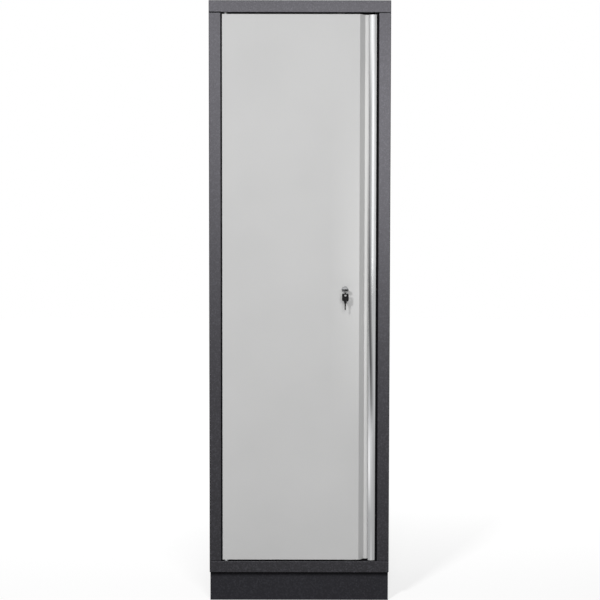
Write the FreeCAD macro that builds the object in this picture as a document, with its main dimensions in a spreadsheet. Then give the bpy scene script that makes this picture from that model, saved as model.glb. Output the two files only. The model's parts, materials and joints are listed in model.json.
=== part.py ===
import FreeCAD, Part
import math
import os
import re
import Sketcher

# Tall single-door steel storage cabinet, in millimetres.
# The origin is on the floor, at the middle of the cabinet's back. +Z is up, the door faces -Y.

# Driving sizes
SIZES = {
    # Carcass
    "cabinet_width": 600,
    "cabinet_height": 2000,
    "cabinet_depth": 458,
    "sheet": 1,
    "edge_radius": 2,
    "cap_height": 40,
    "rail_height": 38,
    "hem_width": 32,
    "post_width": 40,
    "stop_width": 12,
    "hinge_screen_depth": 29,
    "rear_flange": 20,
    "end_flange": 26,
    "end_flange_inset": 60,
    "panel_play": 0.5,
    "wall_hole_spacing": 400,
    "wall_hole_radius": 4.5,
    "wall_hole_drop": 60,
    # Plinth and levelling feet
    "plinth_height": 100,
    "plinth_setback": 25,
    "plinth_inset": 1,
    "plinth_flange": 30,
    "plinth_bolt_span": 300,
    "plinth_side_bolt_span": 180,
    "foot_inset": 58,
    "foot_radius": 20,
    "foot_pad": 8,
    "foot_stud_radius": 5,
    "foot_stud_length": 62,
    "foot_fillet": 2,
    "bracket_height": 40,
    "bracket_margin": 16,
    "bracket_thickness": 3,
    "foot_nut_height": 8,
    "foot_nut_radius": 9.8,
    "thread_play": 0.06,
    # Shelves
    "upright_width": 30,
    "upright_depth": 12,
    "upright_end_gap": 20,
    "upright_front_inset": 110,
    "upright_rear_inset": 60,
    "slot_margin": 30,
    "slot_pitch": 50,
    "slot_width": 18,
    "slot_height": 6,
    "shelf_lip": 28,
    "shelf_hem": 14,
    "shelf_front_inset": 52,
    "shelf_rear_gap": 6,
    "shelf_side_play": 1.5,
    "clip_width": 16,
    "clip_tongue": 4,
    "clip_hook": 5,
    "clip_ledge": 12,
    "clip_leaf": 1.2,
    "clip_drop": 18,
    # Door
    "hinge_gap": 3.5,
    "grip_gap": 7.3,
    "top_gap": 5,
    "bottom_gap": 4.5,
    "recess_depth": 22,
    "slope_run": 18,
    "recess_floor": 34.2,
    "door_flange": 18,
    "lip_depth": 6,
    "stiffener_width": 44,
    "stiffener_inset": 120,
    "weld_gap": 0.2,
    # Grip profile
    "grip_width": 23.2,
    "grip_crown_radius": 24,
    "grip_edge_depth": 1.8,
    "grip_wall": 2.2,
    "grip_edge_radius": 0.9,
    "grip_hook": 9,
    "grip_skirt": 18,
    "grip_top_drop": 2,
    "grip_bottom_drop": 1,
    "lip_play": 0.15,
    # Door pivots
    "pivot_inset": 12,
    "pivot_setback": 9,
    "pin_radius": 4,
    "pin_collar_radius": 7,
    "pin_grip": 14,
    "bush_radius": 6,
    "bush_flange_radius": 8,
    "bush_flange": 1.5,
    "bush_length": 8,
    "block_width": 22,
    "running_play": 0.05,
    "end_play": 0.1,
    # Door buffers
    "buffer_radius": 4.5,
    "buffer_thickness": 2,
    "buffer_stem_radius": 2,
    "buffer_stem": 4,
    "buffer_end_inset": 150,
    # Lock
    "lock_backset": 101.7,
    "lock_head": 3,
    "lock_head_radius": 11,
    "lock_head_fillet": 1.5,
    "barrel_radius": 9.5,
    "barrel_length": 18,
    "plug_radius": 6,
    "tail_side": 6,
    "tail_stub": 2,
    "nut_thickness": 4,
    "nut_radius": 14,
    "pinion_gap": 0.5,
    "tooth_module": 1.5,
    "pinion_teeth": 12,
    "pressure_angle": 20,
    "pinion_addendum": 1.2,
    "rack_addendum": 1.0,
    "tooth_depth": 2.5,
    "backlash": 0.3,
    "root_play": 0.2,
    "tail_screw_head": 2,
    "tail_screw_radius": 4.5,
    "tail_screw_core": 2,
    "tail_screw_reach": 5,
    "case_half_width": 29,
    "case_half_height": 42,
    "case_wall": 1.5,
    "case_clearance": 0.5,
    "pillar_radius": 3,
    "pillar_gap": 0.2,
    "pillar_end_inset": 6,
    "case_screw_radius": 1.5,
    "case_screw_head": 1.6,
    "case_screw_head_radius": 2.8,
    "case_screw_reach": 8,
    # Rods
    "rod_width": 10,
    "rod_thickness": 4,
    "rod_end_drop": 1,
    "rod_play": 0.3,
    "guide_length": 24,
    "guide_wall": 4,
    "guide_end_gap": 60,
    "keeper_wall": 3,
    "keeper_flange": 1.5,
    "keeper_lip": 3,
    "keeper_play": 0.8,
    # Keys
    "key_insert": 19,
    "key_blade_width": 5,
    "key_blade_thickness": 2,
    "key_neck": 2.5,
    "key_tang": 9,
    "key_play": 0.15,
    "bow_foot": 6.5,
    "bow_foot_width": 8.6,
    "bow_length": 27,
    "bow_width": 21.5,
    "bow_shoulder": 3.5,
    "bow_thickness": 3.2,
    "bow_hole": 7,
    "bow_rim": 3.5,
    "bow_corner": 5,
    "ring_radius": 9,
    "ring_wire": 1.6,
    "ring_play": 0.3,
    # Fasteners
    "screw_radius": 3,
    "screw_head_radius": 5,
    "screw_head": 3,
    "screw_length": 12,
    "screw_play": 0.2,
    "rivet_radius": 2,
    "rivet_head_radius": 3.6,
    "rivet_head": 1.2,
    "rivet_end_inset": 40,
}

# Sizes and places that follow from the driving sizes
PLACES = {
    "front": "-cabinet_depth",
    "half_width": "cabinet_width / 2",
    "inner_half": "half_width - sheet",
    "base_top": "plinth_height + rail_height",
    "cap_bottom": "cabinet_height - cap_height",
    "side_height": "cap_bottom - base_top",
    "opening_half": "half_width - post_width",
    "screw_x": "inner_half - end_flange / 2",
    # Plinth
    "plinth_half": "half_width - plinth_inset",
    "plinth_front": "front + plinth_setback",
    "plinth_bolt_inset": "plinth_flange / 2",
    "bracket_reach": "foot_inset + bracket_margin",
    # Shelves
    "upright_height": "side_height - 2 * upright_end_gap",
    "web_x": "inner_half - upright_depth",
    "slot_start": "base_top + upright_end_gap + slot_margin",
    "slot_count": "floor((upright_height - 2 * slot_margin) / slot_pitch) + 1",
    "shelf_half": "web_x - shelf_side_play",
    "upright_front_y": "front + upright_front_inset",
    "upright_rear_y": "-upright_rear_inset",
    # Door
    "door_left": "hinge_gap - opening_half",
    "door_width": "2 * opening_half - hinge_gap - grip_gap",
    "door_bottom": "base_top + bottom_gap",
    "door_height": "cap_bottom - top_gap - door_bottom",
    "door_depth": "recess_depth + sheet",
    "lip_x": "door_width - grip_wall - lip_play",
    "slope_end": "lip_x - recess_floor",
    "fold_x": "slope_end - slope_run",
    "slope_turn": "atan(recess_depth / slope_run)",
    "slope_offset": "sheet * tan(slope_turn / 2)",
    "stop_y": "front + door_depth + buffer_thickness",
    "hinge_screen_y": "front + hinge_screen_depth",
    "grip_left": "door_width - grip_width",
    "lip_room": "sheet + 2 * lip_play",
    "grip_inner": "door_width - grip_wall - lip_room - grip_wall",
    # Door pivots
    "pivot_x": "door_left + pivot_inset",
    "pivot_y": "front + pivot_setback",
    # Lock, rods and keys, from the lock's axis on the door's front
    "lock_x": "door_left + door_width - lock_backset",
    "lock_z": "door_bottom + door_height / 2",
    "rod_front": "barrel_length + pinion_gap",
    "rod_back": "rod_front + rod_thickness",
    "tail_end": "rod_back + tail_stub",
    "cover_front": "tail_end + tail_screw_head + case_clearance",
    "pitch_radius": "tooth_module * pinion_teeth / 2",
    "rack_root": "pitch_radius + pinion_addendum + root_play",
    "rod_outer": "rack_root + rod_width",
    "rod_middle": "rack_root + rod_width / 2",
    "rod_reach": "door_height / 2 - rod_end_drop",
    "pillar_x": "case_half_width - case_wall - pillar_radius - pillar_gap",
    "pillar_z": "case_half_height - pillar_end_inset",
    "bow_foot_end": "-key_neck - bow_foot",
    "bow_end": "bow_foot_end - bow_length",
    "bow_hole_y": "bow_end + bow_rim + bow_hole / 2",
    "ring_z": "bow_thickness / 2 + ring_play + ring_wire / 2 - ring_radius",
    "ring_y": "bow_hole_y - sqrt(ring_radius ^ 2 - ring_z ^ 2) - lock_head",
    "spare_hole_z": "ring_z - ring_radius - bow_hole / 2 + ring_wire / 2 + ring_play",
}

SIDES = {"left": "-1", "right": "1"}
SHELF_SLOTS = (6, 13, 20, 27)
RACK_SPACES = range(-5, 3)
END_SCREWS = 3
RIVETS = 7
BUFFERS = 3
NEAR = 0.001
WORD = re.compile(r"[a-z][a-z_0-9]*")

doc = FreeCAD.newDocument("storage_cabinet")
sizes = doc.addObject("Spreadsheet::Sheet", "Sizes")
places = doc.addObject("Spreadsheet::Sheet", "Places")
scratch = doc.addObject("Spreadsheet::Sheet", "Scratch")


def spell(text):
    """Turn a formula on plain names into one on the cells of the sheets."""
    def cell(match):
        word = match.group(0)
        if word in SIZES:
            return "Sizes." + word
        if word in PLACES:
            return "Places." + word
        return word
    return WORD.sub(cell, text)


def fill_sheets():
    for row, (name, value) in enumerate(SIZES.items(), 1):
        sizes.set(f"A{row}", name)
        sizes.set(f"B{row}", str(value))
        sizes.setAlias(f"B{row}", name)
    doc.recompute()
    for row, (name, text) in enumerate(PLACES.items(), 1):
        places.set(f"A{row}", name)
        places.set(f"B{row}", "=" + spell(text).replace("Places.", ""))
        places.setAlias(f"B{row}", name)
    doc.recompute()


def number(text):
    """The value of a formula at the sheets' present sizes."""
    scratch.set("A1", "=" + spell(text))
    scratch.recompute()
    value = scratch.get("A1")
    return float(getattr(value, "Value", value))


def bind(item, prop, text):
    item.setExpression(prop, spell(text))


def new_body(name, x="0", y="0", z="0", spin=None):
    """An empty sub-part whose own origin stands at x, y, z, turned by spin = (axis, degrees)."""
    body = doc.addObject("PartDesign::Body", name)
    body.Label = name
    if spin:
        body.Placement.Rotation = FreeCAD.Rotation(FreeCAD.Vector(*spin[0]), spin[1])
    for axis, text in zip("xyz", (x, y, z)):
        bind(body, "Placement.Base." + axis, text)
    return body


def new_door_body(name):
    """A sub-part whose origin is the lower left corner of the door's front."""
    return new_body(name, "door_left", "front", "door_bottom")


def new_lock_body(name, y="front", z="lock_z", spin=None):
    """A sub-part whose origin is on the lock's axis."""
    return new_body(name, "lock_x", y, z, spin)


def box(body, kind, name, x, y, z):
    piece = body.newObject(f"PartDesign::{kind}Box", name)
    for prop, axis, (low, high) in zip(("Length", "Width", "Height"), "xyz", (x, y, z)):
        bind(piece, prop, f"({high}) - ({low})")
        bind(piece, "Placement.Base." + axis, low)
    return piece


def add_box(body, name, x, y, z):
    return box(body, "Additive", name, x, y, z)


def cut_box(body, name, x, y, z):
    return box(body, "Subtractive", name, x, y, z)


TURNS = {
    "x": FreeCAD.Rotation(FreeCAD.Vector(0, 1, 0), 90),
    "y": FreeCAD.Rotation(FreeCAD.Vector(1, 0, 0), -90),
    "z": FreeCAD.Rotation(),
}


def cylinder(body, kind, name, axis, radius, centre, span):
    """A round along an axis, from span[0] to span[1]; centre gives the other two coordinates."""
    piece = body.newObject(f"PartDesign::{kind}Cylinder", name)
    piece.Placement.Rotation = TURNS[axis]
    bind(piece, "Radius", radius)
    bind(piece, "Height", f"({span[1]}) - ({span[0]})")
    across = iter(centre)
    for letter in "xyz":
        bind(piece, "Placement.Base." + letter, span[0] if letter == axis else next(across))
    return piece


def add_round(body, name, axis, radius, centre, span):
    return cylinder(body, "Additive", name, axis, radius, centre, span)


def cut_round(body, name, axis, radius, centre, span):
    return cylinder(body, "Subtractive", name, axis, radius, centre, span)


def add_outline(body, name, points, plane="XY_Plane", lift="0", arcs=None):
    """A closed sketch through points of two formulas; arcs gives edges that bulge, by radius."""
    sketch = body.newObject("Sketcher::SketchObject", name)
    support = [item for item in body.Origin.OriginFeatures if item.Role == plane][0]
    sketch.AttachmentSupport = [(support, "")]
    sketch.MapMode = "FlatFace"
    bind(sketch, "AttachmentOffset.Base.z", lift)
    corners = [FreeCAD.Vector(number(x), number(y), 0) for x, y in points]
    count = len(points)
    heads = []
    for edge, start in enumerate(corners):
        end = corners[(edge + 1) % count]
        if arcs and edge in arcs:
            radius = number(arcs[edge])
            chord = end - start
            sag = radius - math.sqrt(radius ** 2 - chord.Length ** 2 / 4)
            outward = FreeCAD.Vector(chord.y, -chord.x, 0).normalize()
            sketch.addGeometry(Part.Arc(start, start + chord / 2 + outward * sag, end), False)
        else:
            sketch.addGeometry(Part.LineSegment(start, end), False)
        forward = (sketch.getPoint(edge, 1) - start).Length < NEAR
        heads.append((1, 2) if forward else (2, 1))
    for edge in range(count):
        after = (edge + 1) % count
        sketch.addConstraint(
            Sketcher.Constraint("Coincident", edge, heads[edge][1], after, heads[after][0]))
        for kind, start, text in zip(("DistanceX", "DistanceY"), corners[edge], points[edge]):
            index = sketch.addConstraint(Sketcher.Constraint(kind, edge, heads[edge][0], start))
            bind(sketch, f"Constraints[{index}]", text)
        if arcs and edge in arcs:
            index = sketch.addConstraint(Sketcher.Constraint("Radius", edge, number(arcs[edge])))
            bind(sketch, f"Constraints[{index}]", arcs[edge])
    return sketch


def add_pad(body, sketch, length, backwards=False):
    pad = body.newObject("PartDesign::Pad", sketch.Name + "_pad")
    pad.Profile = sketch
    pad.Reversed = backwards
    bind(pad, "Length", length)
    return pad


def along(edge, **at):
    """True if both ends of an edge have these coordinates."""
    return all(
        abs(getattr(vertex, axis) - number(text)) < NEAR
        for vertex in edge.Vertexes for axis, text in at.items())


def round_edges(body, radius, *lines):
    """Round the edges of a body that lie along any of the lines."""
    doc.recompute()
    base = body.Tip
    names = [
        f"Edge{index}" for index, edge in enumerate(base.Shape.Edges, 1)
        if any(along(edge, **line) for line in lines)]
    fillet = body.newObject("PartDesign::Fillet", "rounding")
    fillet.Base = (base, names)
    bind(fillet, "Radius", radius)


def folded_tray(body, x, y, z, hem):
    """A sheet with its four edges folded down and hemmed inwards."""
    add_box(body, "blank", x, y, z)
    inside = [(f"{low} + sheet", f"{high} - sheet") for low, high in (x, y, z)]
    cut_box(body, "inside", *inside)
    window = [(f"{low} + {hem}", f"{high} - {hem}") for low, high in (x, y)]
    cut_box(body, "window", *window, (z[0], f"{z[0]} + sheet"))


def even(first, last, count):
    """Formulas of evenly spaced places."""
    return [f"({first}) + (({last}) - ({first})) * {i} / {count - 1}" for i in range(count)]


def end_screw_places():
    return even("front + end_flange_inset + hem_width", "-end_flange_inset - hem_width", END_SCREWS)


def carcass_tray(name, bottom, top):
    """The cap or the base: a hemmed tray of the carcass's full plan."""
    body = new_body(name)
    folded_tray(body, ("-half_width", "half_width"), ("front", "0"), (bottom, top), "hem_width")
    return body


def round_folds(body, bottom, top):
    """Round every outer fold of the cap or the base, which leaves a fine seam at the posts."""
    sides = [{"X": "half_width"}, {"X": "-half_width"}]
    ends = [{"Y": "front"}, {"Y": "0"}]
    corners = [{**side, **end} for side in sides for end in ends]
    rims = [{**wall, "Z": z} for wall in sides + ends for z in (bottom, top)]
    round_edges(body, "edge_radius", *corners, *rims)


def pierce_for_door(body, low, high):
    """Holes for a pivot bush and for the end screws."""
    span = (low, high)
    cut_round(body, "pivot_hole", "z", "bush_radius + running_play", ("pivot_x", "pivot_y"), span)
    for side in SIDES.values():
        for y in end_screw_places():
            place = (f"{side} * screw_x", y)
            cut_round(body, "screw_hole", "z", "screw_radius + screw_play", place, span)


def keeper_slot(body, side, low, high):
    """The slot that takes a rod's keeper, on the lock's left (-1) or right (1)."""
    middle = f"lock_x + {side} * rod_middle"
    half = "rod_width / 2 + keeper_play + keeper_wall"
    front_face = "front + rod_front - keeper_play - keeper_wall"
    back_face = "front + rod_back + keeper_play + keeper_wall"
    cut_box(body, "keeper_slot", (f"{middle} - ({half})", f"{middle} + {half}"),
            (front_face, back_face), (low, high))


def make_top_cap():
    body = carcass_tray("top_cap", "cap_bottom", "cabinet_height")
    pierce_for_door(body, "cap_bottom", "cap_bottom + sheet")
    keeper_slot(body, "-1", "cap_bottom", "cap_bottom + sheet")
    round_folds(body, "cap_bottom", "cabinet_height")


def plinth_bolt_places():
    """Two bolts in the top flange of each board of the plinth."""
    across = "plinth_bolt_span / 2"
    middle = "plinth_front / 2"
    reach = "plinth_side_bolt_span / 2"
    for side in SIDES.values():
        yield f"{side} * {across}", "plinth_front + plinth_bolt_inset"
        yield f"{side} * {across}", "-plinth_bolt_inset"
        for step in SIDES.values():
            yield f"{side} * (plinth_half - plinth_bolt_inset)", f"{middle} + {step} * {reach}"


def make_base_pan():
    body = carcass_tray("base_pan", "plinth_height", "base_top")
    pierce_for_door(body, "base_top - sheet", "base_top")
    keeper_slot(body, "1", "base_top - sheet", "base_top")
    for x, y in plinth_bolt_places():
        cut_round(body, "bolt_hole", "z", "screw_radius + screw_play", (x, y),
                  ("plinth_height", "plinth_height + sheet"))
    round_folds(body, "plinth_height", "base_top")


def make_side_panel(name, side):
    """A side wall with its front post and rear flange, folded from one sheet.

    The post ends in a flange behind the door's edge: the door's stop on the right, and on the
    left a screen that closes the view through the hinge gap.
    """
    body = new_body(f"side_panel_{name}", z="base_top")

    def x(text):
        return f"{side} * ({text})"

    post_inner = x("opening_half")
    post_outer = x("opening_half + sheet")
    stop_end = x("opening_half - stop_width")
    stop_face = "stop_y" if name == "right" else "hinge_screen_y"
    stop_back = f"{stop_face} + sheet"
    points = [
        (x("half_width - rear_flange"), "0"), (x("half_width"), "0"), (x("half_width"), "front"),
        (post_inner, "front"), (post_inner, stop_face), (stop_end, stop_face), (stop_end, stop_back),
        (post_outer, stop_back), (post_outer, "front + sheet"), (x("inner_half"), "front + sheet"),
        (x("inner_half"), "-sheet"), (x("half_width - rear_flange"), "-sheet")]
    add_pad(body, add_outline(body, "fold_line", points), "side_height")
    flange_x = (x("inner_half"), x("inner_half - end_flange"))
    if name == "right":
        flange_x = flange_x[::-1]
    flange_y = ("front + end_flange_inset", "-end_flange_inset")
    for low in ("0", "side_height - sheet"):
        add_box(body, "end_flange", flange_x, flange_y, (low, f"{low} + sheet"))
        for y in end_screw_places():
            cut_round(body, "screw_hole", "z", "screw_radius + screw_play", (x("screw_x"), y),
                      (low, f"{low} + sheet"))
    for z in rivet_heights():
        cut_round(body, "rivet_hole", "y", "rivet_radius + running_play",
                  (x("half_width - rear_flange / 2"), z), ("-sheet", "0"))
    if name == "right":
        for z in buffer_heights():
            cut_round(body, "buffer_hole", "y", "buffer_stem_radius + running_play",
                      ("opening_half - stop_width / 2", z), ("stop_y", "stop_y + sheet"))
    round_edges(
        body, "edge_radius",
        {"X": x("half_width"), "Y": "front"}, {"X": post_inner, "Y": "front"},
        {"X": x("half_width"), "Y": "0"})


def rivet_heights():
    return even("rivet_end_inset", "side_height - rivet_end_inset", RIVETS)


def buffer_heights():
    return even("buffer_end_inset", "side_height - buffer_end_inset", BUFFERS)


def make_back_panel():
    body = new_body("back_panel", z="base_top")
    add_box(body, "wall", ("-inner_half + panel_play", "inner_half - panel_play"),
            ("-2 * sheet", "-sheet"), ("0", "side_height"))
    for side in SIDES.values():
        cut_round(body, "wall_hole", "y", "wall_hole_radius",
                  (f"{side} * wall_hole_spacing / 2", "side_height - wall_hole_drop"),
                  ("-2 * sheet", "-sheet"))
        for z in rivet_heights():
            cut_round(body, "rivet_hole", "y", "rivet_radius + running_play",
                      (f"{side} * (half_width - rear_flange / 2)", z), ("-2 * sheet", "-sheet"))


def make_plinth_board(name, across):
    """The front or rear board of the plinth; across gives its outer and inner face."""
    body = new_body(f"plinth_{name}")
    outer, inner, flange_end = across
    face = sorted((outer, inner), key=number)
    shelf = sorted((inner, flange_end), key=number)
    add_box(body, "face", ("-plinth_half", "plinth_half"), face, ("0", "plinth_height"))
    for low in ("0", "plinth_height - sheet"):
        add_box(body, "flange", ("-plinth_half + sheet", "plinth_half - sheet"), shelf,
                (low, f"{low} + sheet"))
    return body


def make_plinth_side(name, side):
    body = new_body(f"plinth_{name}")
    ends = ("plinth_front + sheet", "-sheet")
    short_ends = ("plinth_front + plinth_flange", "-plinth_flange")
    face = sorted((f"{side} * plinth_half", f"{side} * (plinth_half - sheet)"), key=number)
    shelf = sorted((f"{side} * (plinth_half - sheet)", f"{side} * (plinth_half - plinth_flange)"),
                   key=number)
    add_box(body, "face", face, ends, ("0", "plinth_height"))
    for low in ("0", "plinth_height - sheet"):
        add_box(body, "flange", shelf, short_ends, (low, f"{low} + sheet"))
    return body


def make_plinth():
    make_plinth_board("front", ("plinth_front", "plinth_front + sheet", "plinth_front + plinth_flange"))
    make_plinth_board("rear", ("0", "-sheet", "-plinth_flange"))
    for name, side in SIDES.items():
        make_plinth_side(name, side)
    for name in ("front", "rear", *SIDES):
        body = doc.getObject(f"plinth_{name}")
        doc.recompute()
        bounds = body.Shape.BoundBox
        for x, y in plinth_bolt_places():
            if bounds.isInside(FreeCAD.Vector(number(x), number(y), number("plinth_height - sheet / 2"))):
                cut_round(body, "bolt_hole", "z", "screw_radius + screw_play", (x, y),
                          ("plinth_height - sheet", "plinth_height"))


def foot_places():
    for end, y in (("front", "plinth_front + foot_inset"), ("rear", "-foot_inset")):
        for name, side in SIDES.items():
            yield f"{end}_{name}", f"{side} * (plinth_half - foot_inset)", y, end, side


def make_feet():
    """Levelling feet inside the plinth, each screwed through a bracket in a corner."""
    brackets = new_body("foot_brackets")
    nuts = new_body("foot_nuts")
    for name, x, y, end, side in foot_places():
        foot = new_body(f"levelling_foot_{name}", x, y)
        add_round(foot, "pad", "z", "foot_radius", ("0", "0"), ("0", "foot_pad"))
        round_edges(foot, "foot_fillet", {"Z": "foot_pad"})
        add_round(foot, "stud", "z", "foot_stud_radius", ("0", "0"),
                  ("foot_pad / 2", "foot_pad + foot_stud_length"))
        reach = sorted((f"{side} * (plinth_half - sheet)", f"{side} * (plinth_half - bracket_reach)"),
                       key=number)
        if end == "front":
            depth = ("plinth_front + sheet", "plinth_front + bracket_reach")
        else:
            depth = ("-bracket_reach", "-sheet")
        plate_top = "bracket_height + bracket_thickness"
        nut_top = f"{plate_top} + foot_nut_height"
        bore = "foot_stud_radius + thread_play"
        add_box(brackets, "bracket", reach, depth, ("bracket_height", plate_top))
        cut_round(brackets, "stud_hole", "z", bore, (x, y), ("bracket_height", plate_top))
        add_hexagon(nuts, "nut", "foot_nut_radius", (x, y), plate_top, "foot_nut_height")
        cut_round(nuts, "thread", "z", bore, (x, y), (plate_top, nut_top))


def add_hexagon(body, name, radius, centre, lift, length):
    """A six-sided prism along Z, radius to its corners."""
    points = [
        (f"{centre[0]} + {radius} * cos({60 * i}deg)", f"{centre[1]} + {radius} * sin({60 * i}deg)")
        for i in range(6)]
    add_pad(body, add_outline(body, name, points, lift=lift), length)


def make_uprights():
    """Slotted channels on the side walls that carry the shelf clips."""
    for end, y in (("front", "upright_front_y"), ("rear", "upright_rear_y")):
        for name, side in SIDES.items():
            body = new_body(f"shelf_upright_{end}_{name}", y=y, z="base_top + upright_end_gap")
            outer = sorted((f"{side} * web_x", f"{side} * inner_half"), key=number)
            hollow = sorted((f"{side} * (web_x + sheet)", f"{side} * inner_half"), key=number)
            web = sorted((f"{side} * web_x", f"{side} * (web_x + sheet)"), key=number)
            half = "upright_width / 2"
            add_box(body, "channel", outer, (f"-{half}", half), ("0", "upright_height"))
            cut_box(body, "hollow", hollow, (f"-{half} + sheet", f"{half} - sheet"),
                    ("0", "upright_height"))
            slot = cut_box(body, "slot", web, ("-slot_width / 2", "slot_width / 2"),
                           ("slot_margin - slot_height / 2", "slot_margin + slot_height / 2"))
            doc.recompute()
            row = body.newObject("PartDesign::LinearPattern", "slots")
            row.Originals = [slot]
            upward = [item for item in body.Origin.OriginFeatures if item.Role == "Z_Axis"][0]
            row.Direction = (upward, [""])
            row.Mode = "Spacing"
            bind(row, "Offset", "slot_pitch")
            bind(row, "Occurrences", "slot_count")
            body.Tip = row


def shelf_seat(slot):
    """Height of the clips' ledges in a slot, counted from the lowest."""
    return f"slot_start + {slot} * slot_pitch + clip_tongue / 2"


def make_shelves():
    clips = new_body("shelf_clips")
    for index, slot in enumerate(SHELF_SLOTS, 1):
        shelf = new_body(f"shelf_{index}", z=shelf_seat(slot))
        folded_tray(shelf, ("-shelf_half", "shelf_half"),
                    ("front + shelf_front_inset", "-2 * sheet - shelf_rear_gap"),
                    ("0", "shelf_lip"), "shelf_hem")
        round_edges(
            shelf, "edge_radius",
            {"Y": "front + shelf_front_inset", "Z": "shelf_lip"},
            {"X": "shelf_half", "Z": "shelf_lip"}, {"X": "-shelf_half", "Z": "shelf_lip"})
        for y in ("upright_front_y", "upright_rear_y"):
            for side in SIDES.values():
                add_clip(clips, side, y, shelf_seat(slot))


def add_clip(clips, side, y, top):
    """A bent clip: a tongue through the upright's slot, a ledge under the shelf and a leaf below."""
    wide = (f"{y} - clip_width / 2", f"{y} + clip_width / 2")
    ledge = sorted((f"{side} * (web_x + clip_hook)", f"{side} * (web_x - clip_ledge)"), key=number)
    leaf = sorted((f"{side} * web_x", f"{side} * (web_x - clip_leaf)"), key=number)
    add_box(clips, "ledge", ledge, wide, (f"{top} - clip_tongue", top))
    add_box(clips, "leaf", leaf, wide, (f"{top} - clip_drop", top))


def make_door_skin():
    """The door's front sheet: hinge edge, face, sloped finger recess and the lip for the grip."""
    body = new_door_body("door_skin")
    points = [
        ("door_flange", "door_depth"), ("0", "door_depth"), ("0", "0"), ("fold_x", "0"),
        ("slope_end", "recess_depth"), ("lip_x - sheet", "recess_depth"),
        ("lip_x - sheet", "lip_depth"), ("lip_x", "lip_depth"), ("lip_x", "door_depth"),
        ("slope_end - slope_offset", "door_depth"), ("fold_x - slope_offset", "sheet"),
        ("sheet", "sheet"), ("sheet", "recess_depth"), ("door_flange", "recess_depth")]
    add_pad(body, add_outline(body, "fold_line", points), "door_height")
    end_points = [
        ("0", "0"), ("fold_x", "0"), ("slope_end", "recess_depth"), ("slope_end", "door_depth"),
        ("0", "door_depth")]
    pin_hole = ("pivot_inset", "pivot_setback")
    lock = "door_width - lock_backset"
    for low, side in (("0", "1"), ("door_height - sheet", "-1")):
        span = (low, f"{low} + sheet")
        add_pad(body, add_outline(body, "end_fold", end_points, lift=low), "sheet")
        cut_round(body, "pin_hole", "z", "pin_radius + running_play", pin_hole, span)
        middle = f"{lock} + {side} * rod_middle"
        cut_box(body, "rod_notch",
                (f"{middle} - rod_width / 2 - keeper_play", f"{middle} + rod_width / 2 + keeper_play"),
                ("rod_front - keeper_play", "door_depth"), span)
    cut_round(body, "lock_hole", "y", "barrel_radius + running_play",
              (lock, "door_height / 2"), ("0", "sheet"))
    round_edges(
        body, "edge_radius",
        {"X": "0", "Y": "0"}, {"X": "fold_x", "Y": "0"}, {"X": "0", "Y": "door_depth"},
        {"Y": "0", "Z": "0"}, {"Y": "0", "Z": "door_height"})


def make_door_stiffener():
    """A hat channel along the inside of the door's face."""
    body = new_door_body("door_stiffener")
    x = ("stiffener_inset", "stiffener_inset + stiffener_width")
    ends = ("sheet + weld_gap", "door_height - sheet - weld_gap")
    add_box(body, "channel", x, ("sheet", "recess_depth"), ends)
    cut_box(body, "hollow", (f"{x[0]} + sheet", f"{x[1]} - sheet"), ("sheet", "recess_depth - sheet"), ends)


def make_grip_profile():
    """The drawn grip: a crowned nose with a hooked edge, pushed on to the door's lip."""
    body = new_door_body("grip_profile")
    slot_left = "door_width - grip_wall - lip_room"
    slot_right = "door_width - grip_wall"
    hook_right = "grip_left + grip_wall"
    nose_back = "grip_edge_depth + grip_wall"
    points = [
        ("grip_left", "grip_edge_depth"), ("door_width", "grip_edge_depth"),
        ("door_width", "grip_skirt"), (slot_right, "grip_skirt"),
        (slot_right, "lip_depth - lip_play"), (slot_left, "lip_depth - lip_play"),
        (slot_left, "grip_skirt - grip_wall"), ("grip_inner", "grip_skirt - grip_wall"),
        ("grip_inner", nose_back), (hook_right, nose_back), (hook_right, "grip_hook"),
        ("grip_left", "grip_hook")]
    outline = add_outline(body, "section", points, lift="-grip_bottom_drop",
                          arcs={0: "grip_crown_radius"})
    add_pad(body, outline, "door_height + grip_bottom_drop - grip_top_drop")
    round_edges(
        body, "grip_edge_radius", {"X": "grip_left", "Y": "grip_edge_depth"},
        {"X": "door_width", "Y": "grip_edge_depth"}, {"X": "grip_left", "Y": "grip_hook"},
        {"X": hook_right, "Y": "grip_hook"})


def make_pivots():
    """A flanged bush in the carcass and a collared pin in the door, at each end of the door."""
    for name, seat, flip in (("bottom", "base_top", False), ("top", "cap_bottom", True)):
        spin = ((1, 0, 0), 180) if flip else None
        gap = "top_gap" if flip else "bottom_gap"
        bush = new_body(f"pivot_bush_{name}", "pivot_x", "pivot_y", seat, spin)
        add_round(bush, "body", "z", "bush_radius", ("0", "0"), ("-bush_length", "0"))
        add_round(bush, "flange", "z", "bush_flange_radius", ("0", "0"), ("0", "bush_flange"))
        cut_round(bush, "bore", "z", "pin_radius + running_play", ("0", "0"),
                  ("-bush_length", "bush_flange"))
        pin = new_body(f"pivot_pin_{name}", "pivot_x", "pivot_y", seat, spin)
        add_round(pin, "pin", "z", "pin_radius", ("0", "0"), ("-bush_length", f"{gap} + pin_grip"))
        add_round(pin, "collar", "z", "pin_collar_radius", ("0", "0"), ("bush_flange + end_play", gap))
        block = new_body(f"pivot_block_{name}", "pivot_x", "pivot_y", seat, spin)
        block_x = ("sheet - pivot_inset", "block_width - pivot_inset")
        block_y = ("sheet - pivot_setback", "recess_depth - sheet - pivot_setback")
        if flip:
            block_y = (f"-({block_y[1]})", f"-({block_y[0]})")
        block_z = (f"{gap} + sheet", f"{gap} + pin_grip")
        add_box(block, "block", block_x, block_y, block_z)
        cut_round(block, "bore", "z", "pin_radius + running_play", ("0", "0"), block_z)


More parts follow.
